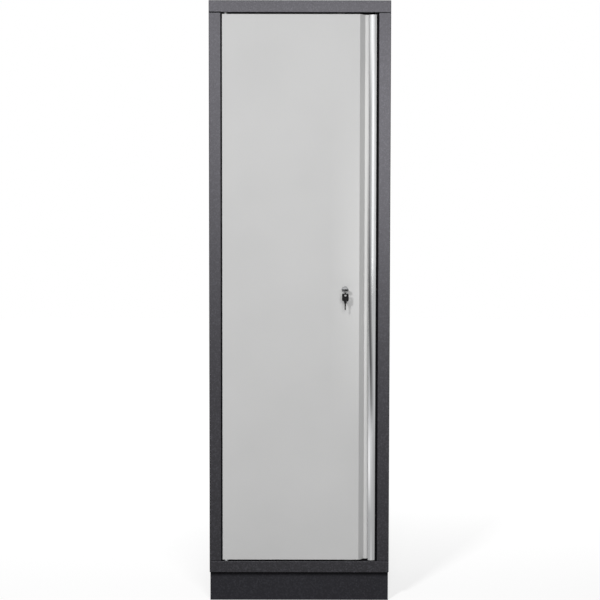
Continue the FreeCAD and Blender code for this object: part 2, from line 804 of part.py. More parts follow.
def make_buffers():
    """Rubber buttons pressed into the stop flange that the door closes against."""
    body = new_body("door_buffers", "opening_half - stop_width / 2", "stop_y", "base_top")
    for z in buffer_heights():
        add_round(body, "button", "y", "buffer_radius", ("0", z), ("end_play - buffer_thickness", "0"))
        add_round(body, "stem", "y", "buffer_stem_radius", ("0", z), ("0", "buffer_stem"))


def make_lock():
    """The cylinder lock: housing, ring nut, turning plug, pinion and the case around them."""
    housing = new_lock_body("lock_housing")
    add_round(housing, "head", "y", "lock_head_radius", ("0", "0"), ("-lock_head", "0"))
    round_edges(housing, "lock_head_fillet", {"Y": "-lock_head"})
    add_round(housing, "barrel", "y", "barrel_radius", ("0", "0"), ("0", "barrel_length"))
    cut_round(housing, "bore", "y", "plug_radius + running_play", ("0", "0"),
              ("-lock_head", "barrel_length"))

    nut_front = "sheet + case_wall"
    nut = new_lock_body("lock_nut", y=f"front + {nut_front} + nut_thickness", spin=((1, 0, 0), 90))
    add_hexagon(nut, "nut", "nut_radius", ("0", "0"), "0", "nut_thickness")
    cut_round(nut, "thread", "z", "barrel_radius + thread_play", ("0", "0"), ("0", "nut_thickness"))

    plug = new_lock_body("lock_plug")
    half_tail = "tail_side / 2"
    add_round(plug, "plug", "y", "plug_radius", ("0", "0"), ("-lock_head", "barrel_length"))
    add_box(plug, "tail", (f"-{half_tail}", half_tail), ("barrel_length", "tail_end"),
            (f"-{half_tail}", half_tail))
    cut_box(plug, "keyway", ("-key_blade_width / 2 - key_play", "key_blade_width / 2 + key_play"),
            ("-lock_head", "key_insert - lock_head + key_play"),
            ("-key_blade_thickness / 2 - key_play", "key_blade_thickness / 2 + key_play"))
    cut_round(plug, "screw_hole", "y", "tail_screw_core + running_play", ("0", "0"),
              ("tail_end - tail_screw_reach", "tail_end"))

    screw = new_lock_body("tail_screw")
    add_round(screw, "head", "y", "tail_screw_radius", ("0", "0"),
              ("tail_end", "tail_end + tail_screw_head"))
    add_round(screw, "shank", "y", "tail_screw_core", ("0", "0"),
              ("tail_end - tail_screw_reach", "tail_end"))
    make_pinion()
    make_lock_case()


def involute_point(base, start, roll):
    """A point of the involute of a circle, whose foot is at the angle start."""
    angle = start + roll
    return FreeCAD.Vector(
        base * (math.cos(angle) + roll * math.sin(angle)), 0,
        base * (math.sin(angle) - roll * math.cos(angle)))


def mirrored(point):
    return FreeCAD.Vector(point.x, point.y, -point.z)


def turned(point, angle):
    return FreeCAD.Rotation(FreeCAD.Vector(0, 1, 0), -math.degrees(angle)).multVec(point)


def make_pinion():
    """The gear on the plug's tail, with involute flanks and radial roots."""
    teeth = int(number("pinion_teeth"))
    pitch_radius = number("pitch_radius")
    pressure = math.radians(number("pressure_angle"))
    base = pitch_radius * math.cos(pressure)
    tip = pitch_radius + number("pinion_addendum")
    root = tip - number("tooth_depth")
    thickness = number("pitch_radius * pi / pinion_teeth - backlash / 2") / pitch_radius
    start = -thickness / 2 - (math.tan(pressure) - pressure)
    last_roll = math.sqrt((tip / base) ** 2 - 1)
    flank = [involute_point(base, start, last_roll * step / 4) for step in range(5)]
    foot = FreeCAD.Vector(root * math.cos(start), 0, root * math.sin(start))
    top = FreeCAD.Vector(tip, 0, 0)
    step_angle = 2 * math.pi / teeth
    edges = []
    for tooth in range(teeth):
        turn = tooth * step_angle
        rising = Part.BSplineCurve()
        rising.interpolate([turned(point, turn) for point in flank])
        falling = Part.BSplineCurve()
        falling.interpolate([turned(mirrored(point), turn) for point in reversed(flank)])
        next_foot = turned(foot, turn + step_angle)
        gap_angle = turn + step_angle / 2
        gap_middle = FreeCAD.Vector(root * math.cos(gap_angle), 0, root * math.sin(gap_angle))
        edges += [
            Part.LineSegment(turned(foot, turn), turned(flank[0], turn)).toShape(),
            rising.toShape(),
            Part.Arc(turned(flank[-1], turn), turned(top, turn),
                     turned(mirrored(flank[-1]), turn)).toShape(),
            falling.toShape(),
            Part.LineSegment(turned(mirrored(flank[0]), turn), turned(mirrored(foot), turn)).toShape(),
            Part.Arc(turned(mirrored(foot), turn), gap_middle, next_foot).toShape()]
    thick = number("rod_thickness")
    blank = Part.Face(Part.Wire(edges)).extrude(FreeCAD.Vector(0, thick, 0))
    side = number("tail_side + 2 * running_play")
    bore = Part.makeBox(side, thick, side, FreeCAD.Vector(-side / 2, 0, -side / 2))
    pinion = doc.addObject("Part::Feature", "pinion")
    pinion.Label = "pinion"
    pinion.Shape = blank.cut(bore)
    for axis, text in zip("xyz", ("lock_x", "front + rod_front", "lock_z")):
        bind(pinion, "Placement.Base." + axis, text)


def pillar_places():
    return [(f"{a} * pillar_x", f"{b} * pillar_z") for a in SIDES.values() for b in SIDES.values()]


def make_lock_case():
    """A channel clamped behind the door's face, with a cover on four pillars."""
    base = new_lock_body("lock_case")
    floor = ("sheet", "sheet + case_wall")
    high = ("-case_half_height", "case_half_height")
    add_box(base, "floor", ("-case_half_width", "case_half_width"), floor, high)
    for outer in (("-case_half_width", "-case_half_width + case_wall"),
                  ("case_half_width - case_wall", "case_half_width")):
        add_box(base, "wall", outer, ("sheet", "cover_front"), high)
    cut_round(base, "barrel_hole", "y", "barrel_radius + running_play", ("0", "0"), floor)
    cover = new_lock_body("lock_case_cover")
    cover_y = ("cover_front", "cover_front + case_wall")
    add_box(cover, "lid", ("-case_half_width", "case_half_width"), cover_y, high)
    screws = new_lock_body("lock_case_screws")
    for place in pillar_places():
        thread = ("cover_front - case_screw_reach", "cover_front")
        add_round(base, "pillar", "y", "pillar_radius", place, (floor[1], "cover_front"))
        cut_round(base, "thread", "y", "case_screw_radius + running_play", place, thread)
        cut_round(cover, "screw_hole", "y", "case_screw_radius + running_play", place, cover_y)
        add_round(screws, "shank", "y", "case_screw_radius", place, (thread[0], cover_y[1]))
        add_round(screws, "head", "y", "case_screw_head_radius", place,
                  (cover_y[1], f"{cover_y[1]} + case_screw_head"))


def rack_outline():
    """The upper rod's outline in X and Z, with its teeth towards the pinion on its right."""
    pitch = "(tooth_module * pi)"
    half_gap = "tooth_module * pi / 4 + backlash / 4"
    lean = "tan(pressure_angle * 1deg)"
    root = "-rack_root"
    tip = "rack_addendum - pitch_radius"
    root_half = f"({half_gap} - (rack_root - pitch_radius) * {lean})"
    tip_half = f"({half_gap} + rack_addendum * {lean})"
    points = []
    for space in RACK_SPACES:
        middle = f"{space} * {pitch}"
        points += [
            (tip, f"{middle} - {tip_half}"), (root, f"{middle} - {root_half}"),
            (root, f"{middle} + {root_half}"), (tip, f"{middle} + {tip_half}")]
    low = f"({RACK_SPACES[0]} - 0.5) * {pitch}"
    high = f"({RACK_SPACES[-1]} + 0.5) * {pitch}"
    return ([("-rod_outer", low), (tip, low)] + points
            + [(tip, high), (root, high), (root, "rod_reach"), ("-rod_outer", "rod_reach")])


def make_rods():
    """Two lock rods with racks on either side of the pinion, each in a guide on the door."""
    for name, spin in (("upper", None), ("lower", ((0, 1, 0), 180))):
        rod = new_lock_body(f"{name}_rod", y="front + rod_front", spin=spin)
        outline = add_outline(rod, "rack", rack_outline(), plane="XZ_Plane")
        add_pad(rod, outline, "rod_thickness", backwards=True)
        guide = new_lock_body(f"{name}_rod_guide", spin=spin)
        top = "rod_reach - guide_end_gap"
        span = (f"{top} - guide_length", top)
        add_box(guide, "block", ("-rod_outer - guide_wall", "guide_wall - rack_root"),
                ("sheet", "rod_back + guide_wall"), span)
        cut_box(guide, "channel", ("-rod_outer - rod_play", "rod_play - rack_root"),
                ("rod_front - rod_play", "rod_back + rod_play"), span)
        seat = "cap_bottom" if name == "upper" else "base_top"
        keeper = new_lock_body(f"{name}_rod_keeper", z=seat, spin=spin)
        bore_x = ("-rod_outer - keeper_play", "keeper_play - rack_root")
        bore_y = ("rod_front - keeper_play", "rod_back + keeper_play")
        add_box(keeper, "sleeve", *widen((bore_x, bore_y), "keeper_wall - running_play"),
                ("0", "sheet + keeper_lip"))
        add_box(keeper, "flange", *widen((bore_x, bore_y), "keeper_wall + keeper_lip"),
                ("-keeper_flange", "0"))
        cut_box(keeper, "mouth", bore_x, bore_y, ("-keeper_flange", "sheet + keeper_lip"))


def widen(spans, margin):
    return [(f"{low} - ({margin})", f"{high} + {margin}") for low, high in spans]


def make_key(prefix, x, y, z, spin=None):
    """A flat key: a steel blade with a tang, held in a moulded bow."""
    blade = new_body(f"{prefix}_blade", x, y, z, spin)
    half_wide = "key_blade_width / 2"
    half_thick = "key_blade_thickness / 2"
    flat = (f"-{half_thick}", half_thick)
    tang = (("-key_blade_width / 2", half_wide), ("-key_neck - key_tang", "-key_neck"), flat)
    point = "key_blade_thickness"
    points = [
        (f"-{half_wide}", "-key_neck - key_tang"), (half_wide, "-key_neck - key_tang"),
        (half_wide, f"key_insert - {point}"), (f"{half_wide} - {point}", "key_insert"),
        (f"{point} - {half_wide}", "key_insert"), (f"-{half_wide}", f"key_insert - {point}")]
    add_pad(blade, add_outline(blade, "blank", points, lift=flat[0]), "key_blade_thickness")
    bow = new_body(f"{prefix}_bow", x, y, z, spin)
    shoulder = "bow_foot_end - bow_shoulder"
    half_foot = "bow_foot_width / 2"
    half_bow = "bow_width / 2"
    points = [
        (f"-{half_foot}", "-key_neck"), (f"-{half_foot}", "bow_foot_end"), (f"-{half_bow}", shoulder),
        (f"-{half_bow}", "bow_end"), (half_bow, "bow_end"), (half_bow, shoulder),
        (half_foot, "bow_foot_end"), (half_foot, "-key_neck")]
    thick = ("-bow_thickness / 2", "bow_thickness / 2")
    add_pad(bow, add_outline(bow, "outline", points, lift=thick[0]), "bow_thickness")
    cut_box(bow, "tang_seat", *tang)
    cut_round(bow, "hole", "z", "bow_hole / 2", ("0", "bow_hole_y"), thick)
    round_edges(
        bow, "bow_corner", {"X": half_bow, "Y": "bow_end"}, {"X": f"-{half_bow}", "Y": "bow_end"})


def make_keys():
    """The key in the lock, its split ring, and the spare key that hangs from the ring."""
    make_key("key", "lock_x", "front - lock_head", "lock_z")
    ring = new_lock_body("key_ring", y="front + ring_y", z="lock_z + ring_z")
    wire = ring.newObject("PartDesign::AdditiveTorus", "wire")
    wire.Placement.Rotation = TURNS["x"]
    bind(wire, "Radius1", "ring_radius")
    bind(wire, "Radius2", "ring_wire / 2")
    make_key("spare_key", "lock_x", "front + ring_y", "lock_z + spare_hole_z + bow_hole_y",
             ((1, 0, 0), -90))


def make_fasteners():
    screws = new_body("carcass_screws")
    for side in SIDES.values():
        for y in end_screw_places():
            place = (f"{side} * screw_x", y)
            for seat, way in (("base_top + sheet", 1), ("cap_bottom - sheet", -1)):
                add_screw(screws, place, seat, way)
    bolts = new_body("plinth_bolts")
    for place in plinth_bolt_places():
        add_screw(bolts, place, "plinth_height + sheet", 1)
    rivets = new_body("back_rivets", z="base_top")
    for side in SIDES.values():
        for z in rivet_heights():
            place = (f"{side} * (half_width - rear_flange / 2)", z)
            add_round(rivets, "shank", "y", "rivet_radius", place, ("-2 * sheet", "0"))
            add_round(rivets, "head", "y", "rivet_head_radius", place,
                      ("-2 * sheet - rivet_head", "-2 * sheet"))


def add_screw(body, place, seat, way):
    """A pan-head screw whose head stands on a seat, above it (1) or below it (-1)."""
    head = sorted((seat, f"{seat} + {way} * screw_head"), key=number)
    shank = sorted((seat, f"{seat} - {way} * screw_length"), key=number)
    add_round(body, "head", "z", "screw_head_radius", place, head)
    add_round(body, "shank", "z", "screw_radius", place, shank)


def check_document():
    failed = [item.Name for item in doc.Objects if {"Invalid", "Error"} & set(item.State)]
    if failed:
        raise RuntimeError("not built: " + ", ".join(failed))


def write_parts():
    os.makedirs("parts", exist_ok=True)
    parts = [item for item in doc.Objects if item.isDerivedFrom("PartDesign::Body") or item.Name == "pinion"]
    for part in parts:
        if part.Shape.isNull() or not part.Shape.isValid():
            raise RuntimeError(part.Label + " has no valid shape")
    for part in parts:
        part.Shape.exportStep(f"parts/{part.Label}.step")
    print(len(parts), "parts,", sum(len(part.Shape.Solids) for part in parts), "solids")


fill_sheets()
make_top_cap()
make_base_pan()
for panel_name, panel_side in SIDES.items():
    make_side_panel(panel_name, panel_side)
make_back_panel()
make_plinth()
make_feet()
make_uprights()
make_shelves()
make_door_skin()
make_door_stiffener()
make_grip_profile()
make_pivots()
make_buffers()
make_lock()
make_rods()
make_keys()
make_fasteners()
doc.removeObject("Scratch")
doc.recompute()
check_document()
write_parts()
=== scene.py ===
# %% [markdown]
# # A tall steel storage cabinet
# The cabinet's shape comes from its construction model, a frame of fifty-six pieces, each in its place,
# in metres. Blender's work is the looks. We could model everything again, but then two models would
# drift apart. So we load the frame, keep the pieces whose shape is right, and give each a finish. Only
# the small turned, bent, cut and moulded pieces are made again here, with more detail.

# %% Load the cabinet
import json
import math

import bmesh
import bpy
from mathutils import Matrix, Vector


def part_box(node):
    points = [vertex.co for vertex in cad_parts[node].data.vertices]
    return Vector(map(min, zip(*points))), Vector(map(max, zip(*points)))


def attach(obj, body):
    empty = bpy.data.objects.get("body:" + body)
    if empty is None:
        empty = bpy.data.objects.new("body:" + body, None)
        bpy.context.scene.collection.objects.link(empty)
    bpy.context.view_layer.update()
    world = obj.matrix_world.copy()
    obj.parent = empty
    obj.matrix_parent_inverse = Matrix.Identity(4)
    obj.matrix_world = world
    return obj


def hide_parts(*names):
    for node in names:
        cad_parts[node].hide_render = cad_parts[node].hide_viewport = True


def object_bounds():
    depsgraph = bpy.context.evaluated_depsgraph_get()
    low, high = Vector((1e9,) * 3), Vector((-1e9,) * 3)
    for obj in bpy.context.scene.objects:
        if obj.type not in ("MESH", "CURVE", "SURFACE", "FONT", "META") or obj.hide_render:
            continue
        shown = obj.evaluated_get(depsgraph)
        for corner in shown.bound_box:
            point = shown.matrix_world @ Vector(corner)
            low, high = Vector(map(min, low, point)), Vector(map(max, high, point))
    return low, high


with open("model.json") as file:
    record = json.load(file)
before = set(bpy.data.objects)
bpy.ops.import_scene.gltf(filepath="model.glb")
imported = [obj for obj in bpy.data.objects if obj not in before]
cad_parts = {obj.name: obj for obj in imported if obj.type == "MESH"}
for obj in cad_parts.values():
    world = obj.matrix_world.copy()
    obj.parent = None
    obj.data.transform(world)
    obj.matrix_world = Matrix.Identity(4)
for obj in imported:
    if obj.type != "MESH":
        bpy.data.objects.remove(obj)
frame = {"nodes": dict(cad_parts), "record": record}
cabinet_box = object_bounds()
nodes = frame["nodes"]
print(len(nodes), "pieces in a box of", [round(b - a, 3) for a, b in zip(*cabinet_box)])

# %% [markdown]
# ## Arithmetic for finishes
# A finish is a net of shader nodes. Wiring sums by hand hides the idea, so one small class wraps a
# node's output: adding, subtracting and multiplying wires then adds the Math nodes. Colours and vectors
# take Vector Math and Mix instead, because a Math node would turn a colour grey.

# %% A wire between shader nodes
class Wire:
    """A node's output, for use in Python expressions. Without an output it is only the start of a net."""

    def __init__(self, tree, output=None):
        self.tree = tree
        self.output = output

    def add(self, kind, sockets=None, out="", **settings):
        """Add a node: its settings first, then its sockets' values or wires. Returns one of its outputs."""
        node = self.tree.nodes.new("ShaderNode" + kind)
        for name, value in settings.items():
            setattr(node, name, value)
        for name, value in (sockets or {}).items():
            socket = next(item for item in node.inputs if item.identifier == name)
            if isinstance(value, Wire):
                self.tree.links.new(value.output, socket)
            else:
                socket.default_value = value
        outputs = [item for item in node.outputs if item.enabled]
        chosen = [item for item in outputs if item.identifier == out] or outputs
        return Wire(self.tree, chosen[0] if chosen else None)

    def combine(self, operation, first, second):
        """A Math node for two values, or a Vector Math node as soon as one of them is a vector."""
        pair = (first, second)
        if any(isinstance(item, Wire) and item.output.type != "VALUE" for item in pair):
            pair = [item if isinstance(item, (Wire, tuple)) else (item, item, item) for item in pair]
            return self.add("VectorMath", {"Vector": pair[0], "Vector_001": pair[1]}, operation=operation)
        return self.add("Math", {"Value": pair[0], "Value_001": pair[1]}, operation=operation)

    def __add__(self, other):
        return self.combine("ADD", self, other)

    def __sub__(self, other):
        return self.combine("SUBTRACT", self, other)

    def __rsub__(self, other):
        return self.combine("SUBTRACT", other, self)

    def __mul__(self, other):
        return self.combine("MULTIPLY", self, other)

    def mix(self, low, high):
        """A colour between two, by this wire's value."""
        sockets = {"Factor_Float": self, "A_Color": low, "B_Color": high}
        return self.add("Mix", sockets, out="Result_Color", data_type="RGBA")

    def between(self, low, high):
        """0 below low, 1 above high, straight in between."""
        return self.add("MapRange", {"Value": self, "From Min": low, "From Max": high}, clamp=True)

    def band(self, rise, fall):
        """0, then 1 after a rise, then 0 after a fall. Each is a pair of values, its start and its end."""
        return self.between(*rise) * (1 - self.between(*fall))


print("wires add, subtract, multiply, mix and mask")

# %% [markdown]
# Every finish below starts alike: a material with one Principled shader, whose values that are the same
# all over are set on the shader itself. What changes over the surface is wired in afterwards. Each
# noise is measured in millimetres, in the coordinates of the piece, so a texture keeps its real size
# and rides along when a piece moves. Marks of use are masks: soft ranges of those same coordinates.

# %% Start of a finish
MM = 0.001


class Finish:
    """A material with one Principled shader, and the noises that vary it."""

    def __init__(self, name, **fixed):
        self.material = bpy.data.materials.new(name)
        self.material.use_nodes = True
        tree = self.material.node_tree
        tree.nodes.clear()
        self.start = Wire(tree)
        self.shader = tree.nodes.new("ShaderNodeBsdfPrincipled")
        self.surface = tree.nodes.new("ShaderNodeOutputMaterial").inputs["Surface"]
        tree.links.new(self.shader.outputs["BSDF"], self.surface)
        for socket, value in fixed.items():
            self.shader.inputs[socket.replace("_", " ")].default_value = value
        self.place = self.start.add("TexCoord", out="Object")

    def wire(self, socket, value):
        """Drive one of the shader's sockets."""
        self.start.tree.links.new(value.output, self.shader.inputs[socket])

    def cover(self, share, other):
        """Show another shader instead, by a share between 0 and 1."""
        own = Wire(self.start.tree, self.shader.outputs["BSDF"])
        mixed = self.start.add("MixShader", {"Fac": share, "Shader": own, "Shader_001": other})
        self.start.tree.links.new(mixed.output, self.surface)

    def along(self, axis):
        """One of the piece's coordinates, in metres."""
        return self.start.add("SeparateXYZ", {"Vector": self.place}, out=axis)

    def stretched(self, x=1.0, z=1.0):
        """The piece's coordinates, squeezed so that a noise on them is drawn out."""
        return self.place * (x, 1.0, z)

    def noise(self, grain, detail=2.0, place=None, roughness=0.5):
        """Cloudy values between 0 and 1, with grains of a size in millimetres."""
        sockets = {"Vector": place or self.place, "Scale": 1 / (grain * MM),
                   "Detail": detail, "Roughness": roughness}
        return self.start.add("TexNoise", sockets, out="Fac")

    def cells(self, grain, out="Distance"):
        """Rounded cells of a size in millimetres."""
        return self.start.add("TexVoronoi", {"Vector": self.place, "Scale": 1 / (grain * MM)}, out=out)

    def bump(self, height, depth, strength=1.0):
        """Raise the surface by a height map, whose full range is a depth in millimetres."""
        sockets = {"Height": height, "Distance": depth * MM, "Strength": strength}
        self.wire("Normal", self.start.add("Bump", sockets))


finishes = {}
print("finishes start from one shader and noises in millimetres")

# %% [markdown]
# ## The carcass's textured coat
# The carcass is sheet steel under an anthracite powder coat with a fine grain, like orange peel at a
# tenth of the size. The grain scatters the studio light into a soft veil, so the paint looks lighter
# where a lamp is mirrored in it. A flat grey could imitate that from one side only. Noises and cells
# make the grain as bumps instead, and a coarser noise sets pale flecks in the dark ground.

# %% Textured powder coat
def dark_grey(value):
    """An anthracite, which is a grey with a trace of violet."""
    return (value, value * 0.99, value * 1.15, 1)


VIOLET_GLOSS = (0.93, 0.91, 1.0, 1)


def textured_coat(name, gloss):
    """A grained powder coat, with its share of mirrored light, and a map of its flecks."""
    paint = Finish(name, Specular_IOR_Level=gloss, Specular_Tint=VIOLET_GLOSS)
    grain = paint.noise(1.6, detail=3.0) * 0.4 + paint.cells(1.1) * 0.2 + paint.noise(6.0) * 0.4
    paint.bump(grain, 0.16, strength=0.5)
    return paint, paint.noise(5.0, detail=3.0, roughness=0.6).between(0.48, 0.72)


coat, flecks = textured_coat("anthracite_texture_coat", gloss=0.34)
coat.wire("Base Color", flecks.mix(dark_grey(0.001), dark_grey(0.026)))
finishes["dark_paint"] = coat
print("textured coat:", len(coat.start.tree.nodes), "nodes")

# %% [markdown]
# Powder is blown on from outside and hardly reaches the inner folds, so the coat is thin and matt
# inside. The inner and the outer faces belong to the same pieces, so a second material would need their
# faces sorted. It is simpler to pick the places by their coordinates: ranges of a few millimetres,
# counted from edges in the frame.

# %% Thin coat inside
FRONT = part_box("top_cap")[0].y
BACK = cabinet_box[1].y
HALF_WIDTH = cabinet_box[1].x
PAN_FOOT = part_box("base_pan")[0].z


def past(place, start, end):
    """A range in metres, which starts and ends some millimetres past a place."""
    return place + start * MM, place + end * MM


across = coat.start.add("Math", {"Value": coat.along("X")}, operation="ABSOLUTE")
from_front = coat.along("Y")
height = coat.along("Z")
within_walls = 1 - across.between(*past(HALF_WIDTH, -2.0, -1.2))
within_walls = within_walls * height.between(*past(PAN_FOOT, 1.0, 3.0))
behind_edge = from_front.between(*past(FRONT, 1.0, 2.5))
before_back = 1 - from_front.between(*past(BACK, -4.0, -3.0))
inside = within_walls * behind_edge * before_back
coat.wire("Roughness", coat.noise(3.0) * 0.10 + inside * 0.5 + 0.30)
print("thin coat inside:", len(coat.start.tree.nodes), "nodes")

# %% [markdown]
# The gaps round the door are covered with painted shade: a dark coat without gloss, which keeps them
# dark where the lamps would light their inner faces. The same painted shade lies in the two fine seams
# where the posts meet the cap and the rail. On the hinge side the cap's seam shade reaches a millimetre
# higher, and a line of painted shade runs along the post. It has no gloss at all, so it is a Diffuse
# shader of its own that covers the coat.

# %% Painted shade in the gaps and seams
CAP_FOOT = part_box("top_cap")[0].z
RAIL_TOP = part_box("base_pan")[1].z
POST_WIDTH = 40
POST_EDGE = HALF_WIDTH - POST_WIDTH * MM
HINGE_SHADE_RISE = 1.2 * MM
GAP_SHADE_SHARE = 0.75
SEAM_SHADE_SHARE = 0.9
gap_depth = 1 - from_front.between(*past(FRONT, 50, 60))
gap_shade = within_walls * behind_edge * gap_depth
hinge_side = 1 - coat.along("X").between(*past(0.0, -200, 0))
below_cap = 1 - (height - hinge_side * HINGE_SHADE_RISE).between(*past(CAP_FOOT, 1.0, 1.8))
cap_seam = height.between(*past(CAP_FOOT, -2.0, -1.5)) * below_cap
rail_seam = height.band(past(RAIL_TOP, -1.4, -0.6), past(RAIL_TOP, 1.5, 2.0))
seam_shade = (cap_seam + rail_seam) * across.between(*past(POST_EDGE, -1.5, -0.5))
beside_door = height.band(past(RAIL_TOP, 0.5, 1.5), past(CAP_FOOT, -1.5, -0.5))
post_line = beside_door * (1 - across.between(*past(POST_EDGE, 1.2, 2.2)))
post_edge_shade = hinge_side * post_line * (1 - behind_edge)
# Painted shade: a dark Diffuse shader over the gaps, the seams and a line along the hinge-side post.
painted_shade = coat.start.add("BsdfDiffuse", {"Color": dark_grey(0.012)})
seam_shade = seam_shade * (hinge_side * (1 - SEAM_SHADE_SHARE) + SEAM_SHADE_SHARE)
coat.cover(gap_shade * GAP_SHADE_SHARE + seam_shade + post_edge_shade, painted_shade)
print("textured coat with primer:", len(coat.start.tree.nodes), "nodes")

# %% [markdown]
# The plinth is painted to match but matt, because it is scuffed by shoes and brooms. A matt coat
# mirrors less of the white floor, so the rail's shadow shows on it. Close under the rail the paint
# fades to near black, a painted shadow that deepens the rail's real one.

# %% Matt plinth coat
plinth_coat, scuffs = textured_coat("matt_plinth_coat", gloss=0.03)
sprayed = scuffs.mix(dark_grey(0.022), dark_grey(0.036))
# Painted shadow: close under the rail the paint goes near black.
painted_rail_shadow = plinth_coat.along("Z").between(*past(PAN_FOOT, -22, -6))
plinth_coat.wire("Base Color", painted_rail_shadow.mix(sprayed, dark_grey(0.004)))
plinth_coat.wire("Roughness", plinth_coat.noise(3.0) * 0.10 + 0.60)
print("plinth coat:", len(plinth_coat.start.tree.nodes), "nodes")

# %% [markdown]
# ## The door's smooth coat
# The door has a smooth light grey coat. Up close a smooth powder coat still has long, shallow waves.
# One noise for the waves and a finer one, a few hundredths of a millimetre high, bend the highlights. A
# very slow noise lets the grey drift, because no coat is equally thick all over a tall door.

# %% Light grey smooth coat
FACE_GREYS = (0.457, 0.457, 0.456, 1), (0.477, 0.477, 0.476, 1)
# The recess greys are lighter than the face's: painted light for the light that the hollow loses.
RECESS_LIT_GREYS = (0.504, 0.504, 0.502, 1), (0.526, 0.526, 0.524, 1)
grey = Finish("light_grey_smooth_coat", Specular_IOR_Level=0.06)
waves = grey.noise(6.0, detail=1.0) * 0.7 + grey.noise(1.8, detail=2.0) * 0.3
grey.bump(waves, 0.03, strength=0.4)
grey.wire("Roughness", grey.noise(4.0) * 0.10 + 0.36)
drift = grey.noise(260, detail=2.0).between(0.3, 0.7)
outer = drift.mix(*FACE_GREYS)
inner = drift.mix(*RECESS_LIT_GREYS)
finishes["light_paint"] = grey
print("smooth coat:", len(grey.start.tree.nodes), "nodes")

# %% [markdown]
# In the finger recess the grey is a shade lighter, a painted light for the light the hollow loses, and
# it is lighter still at middle height. Beside the grip a strip is darker at middle height, a painted
# shadow of the grip. The face beside the fold is a little paler, a painted reflection of the grip. The
# places are ranges of height, in metres above the floor, and of distance across, in millimetres from
# the grip's edge.

# %% Painted light in the recess, the grip's shadow and its reflection
GRIP_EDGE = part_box("grip_profile")[0].x
FOLD = (-32.0, -30.5)
RECESS_LIGHT_HEIGHTS = (0.65, 0.95), (1.65, 1.85)
RECESS_LIGHT_GREY = (0.578, 0.578, 0.572, 1)
GRIP_SHADOW_STRIP = (-7.0, -3.5)
GRIP_SHADOW_HEIGHTS = (0.50, 0.75), (1.20, 1.50)
GRIP_SHADOW_GREY = (0.40, 0.40, 0.395, 1)
GRIP_REFLECTION_STRIP = (-129.5, -34.5)
GRIP_REFLECTION_HEIGHTS = (0.60, 1.05), (1.15, 1.75)
GRIP_REFLECTION_GREY = (0.535, 0.535, 0.532, 1)
beside_grip = (grey.along("X") - GRIP_EDGE) * (1 / MM)
door_height = grey.along("Z")
# Painted light: a band of height where the recess is lighter still; then the grip's shadow and reflection.
thick = door_height.band(*RECESS_LIGHT_HEIGHTS)
grip_shadow = door_height.band(*GRIP_SHADOW_HEIGHTS) * beside_grip.between(*GRIP_SHADOW_STRIP)
grip_reflection = door_height.band(*GRIP_REFLECTION_HEIGHTS) * beside_grip.between(*GRIP_REFLECTION_STRIP)
face = grip_reflection.mix(outer, GRIP_REFLECTION_GREY)
hollow = grip_shadow.mix(thick.mix(inner, RECESS_LIGHT_GREY), GRIP_SHADOW_GREY)
grey.wire("Base Color", beside_grip.between(*FOLD).mix(face, hollow))
print("smooth coat with its marks:", len(grey.start.tree.nodes), "nodes")

# %% [markdown]
# ## The grip's aluminium
# The grip is drawn aluminium: the die leaves fine lines along its length, and polishing leaves them
# shallow. An anisotropic gloss could stand for the lines from far away. A noise that is squeezed along
# Z also shows them up close, because each grain becomes a long streak.

# %% Drawn aluminium
POLISHED_TONES = (0.41, 0.414, 0.42, 1), (0.53, 0.534, 0.54, 1)
drawn = Finish("drawn_aluminium", Metallic=1.0)
lines = drawn.noise(0.35, detail=3.0, place=drawn.stretched(z=0.004))
bloom = drawn.noise(30, detail=2.0, place=drawn.stretched(z=0.15))
polished = lines.mix(*POLISHED_TONES)
drawn.wire("Roughness", lines * 0.03 + bloom * 0.04 + 0.045)
drawn.bump(lines, 0.002, strength=0.1)
finishes["grip_aluminium"] = drawn
print("grip:", drawn.material.name)

# %% [markdown]
# Beside the lock the grip's inner edge carries a painted dark reflection, which leans outwards lower
# down. Below it the edge has a painted highlight. Towards the foot the metal is painted darker, as a
# darker reflection, with one light streak of painted reflection. As on the door, these are masks of
# height and of the distance from the grip's edge. They only change the base colour, so the lines and
# the gloss run on through them.

# %% Painted reflections on the grip
DARKER_FOOT_HEIGHTS = (0.40, 0.75)
DARKER_FOOT_TONE = (0.34, 0.343, 0.348, 1)
DARK_REFLECTION_STRIP = (-2.5, 1.0), (5.0, 12.0)
DARK_REFLECTION_HEIGHTS = (0.40, 0.80), (1.15, 1.9)
DARK_REFLECTION_TONE = (0.10, 0.10, 0.103, 1)
DARK_REFLECTION_MIDDLE = 1.0
DARK_REFLECTION_LEAN = 21
EDGE_HIGHLIGHT_STRIP = (-7.3, -3.3)
EDGE_HIGHLIGHT_HEIGHTS = (0.30, 0.45), (0.54, 0.70)
EDGE_HIGHLIGHT_TONE = (0.64, 0.642, 0.646, 1)
STREAK_REFLECTION_STRIP = (6.3, 10.5), (12.3, 14.6)
STREAK_REFLECTION_TOP = (0.13, 0.27)
STREAK_REFLECTION_TONE = (0.52, 0.522, 0.526, 1)
grip_across = (drawn.along("X") - GRIP_EDGE) * (1 / MM)
grip_height = drawn.along("Z")
# Painted reflections: dark beside the lock, a highlight below it, darker at the foot, one light streak.
leaning = grip_across + (grip_height - DARK_REFLECTION_MIDDLE) * DARK_REFLECTION_LEAN
dark_reflection = leaning.band(*DARK_REFLECTION_STRIP) * grip_height.band(*DARK_REFLECTION_HEIGHTS)
edge_highlight = grip_height.band(*EDGE_HIGHLIGHT_HEIGHTS) * (1 - leaning.between(*EDGE_HIGHLIGHT_STRIP))
streak_reflection = grip_across.band(*STREAK_REFLECTION_STRIP) * (1 - grip_height.between(*STREAK_REFLECTION_TOP))
darker_foot = grip_height.between(*DARKER_FOOT_HEIGHTS).mix(DARKER_FOOT_TONE, polished)
painted_reflections = edge_highlight.mix(dark_reflection.mix(darker_foot, DARK_REFLECTION_TONE), EDGE_HIGHLIGHT_TONE)
drawn.wire("Base Color", streak_reflection.mix(painted_reflections, STREAK_REFLECTION_TONE))
print("grip with its marks:", len(drawn.start.tree.nodes), "nodes")
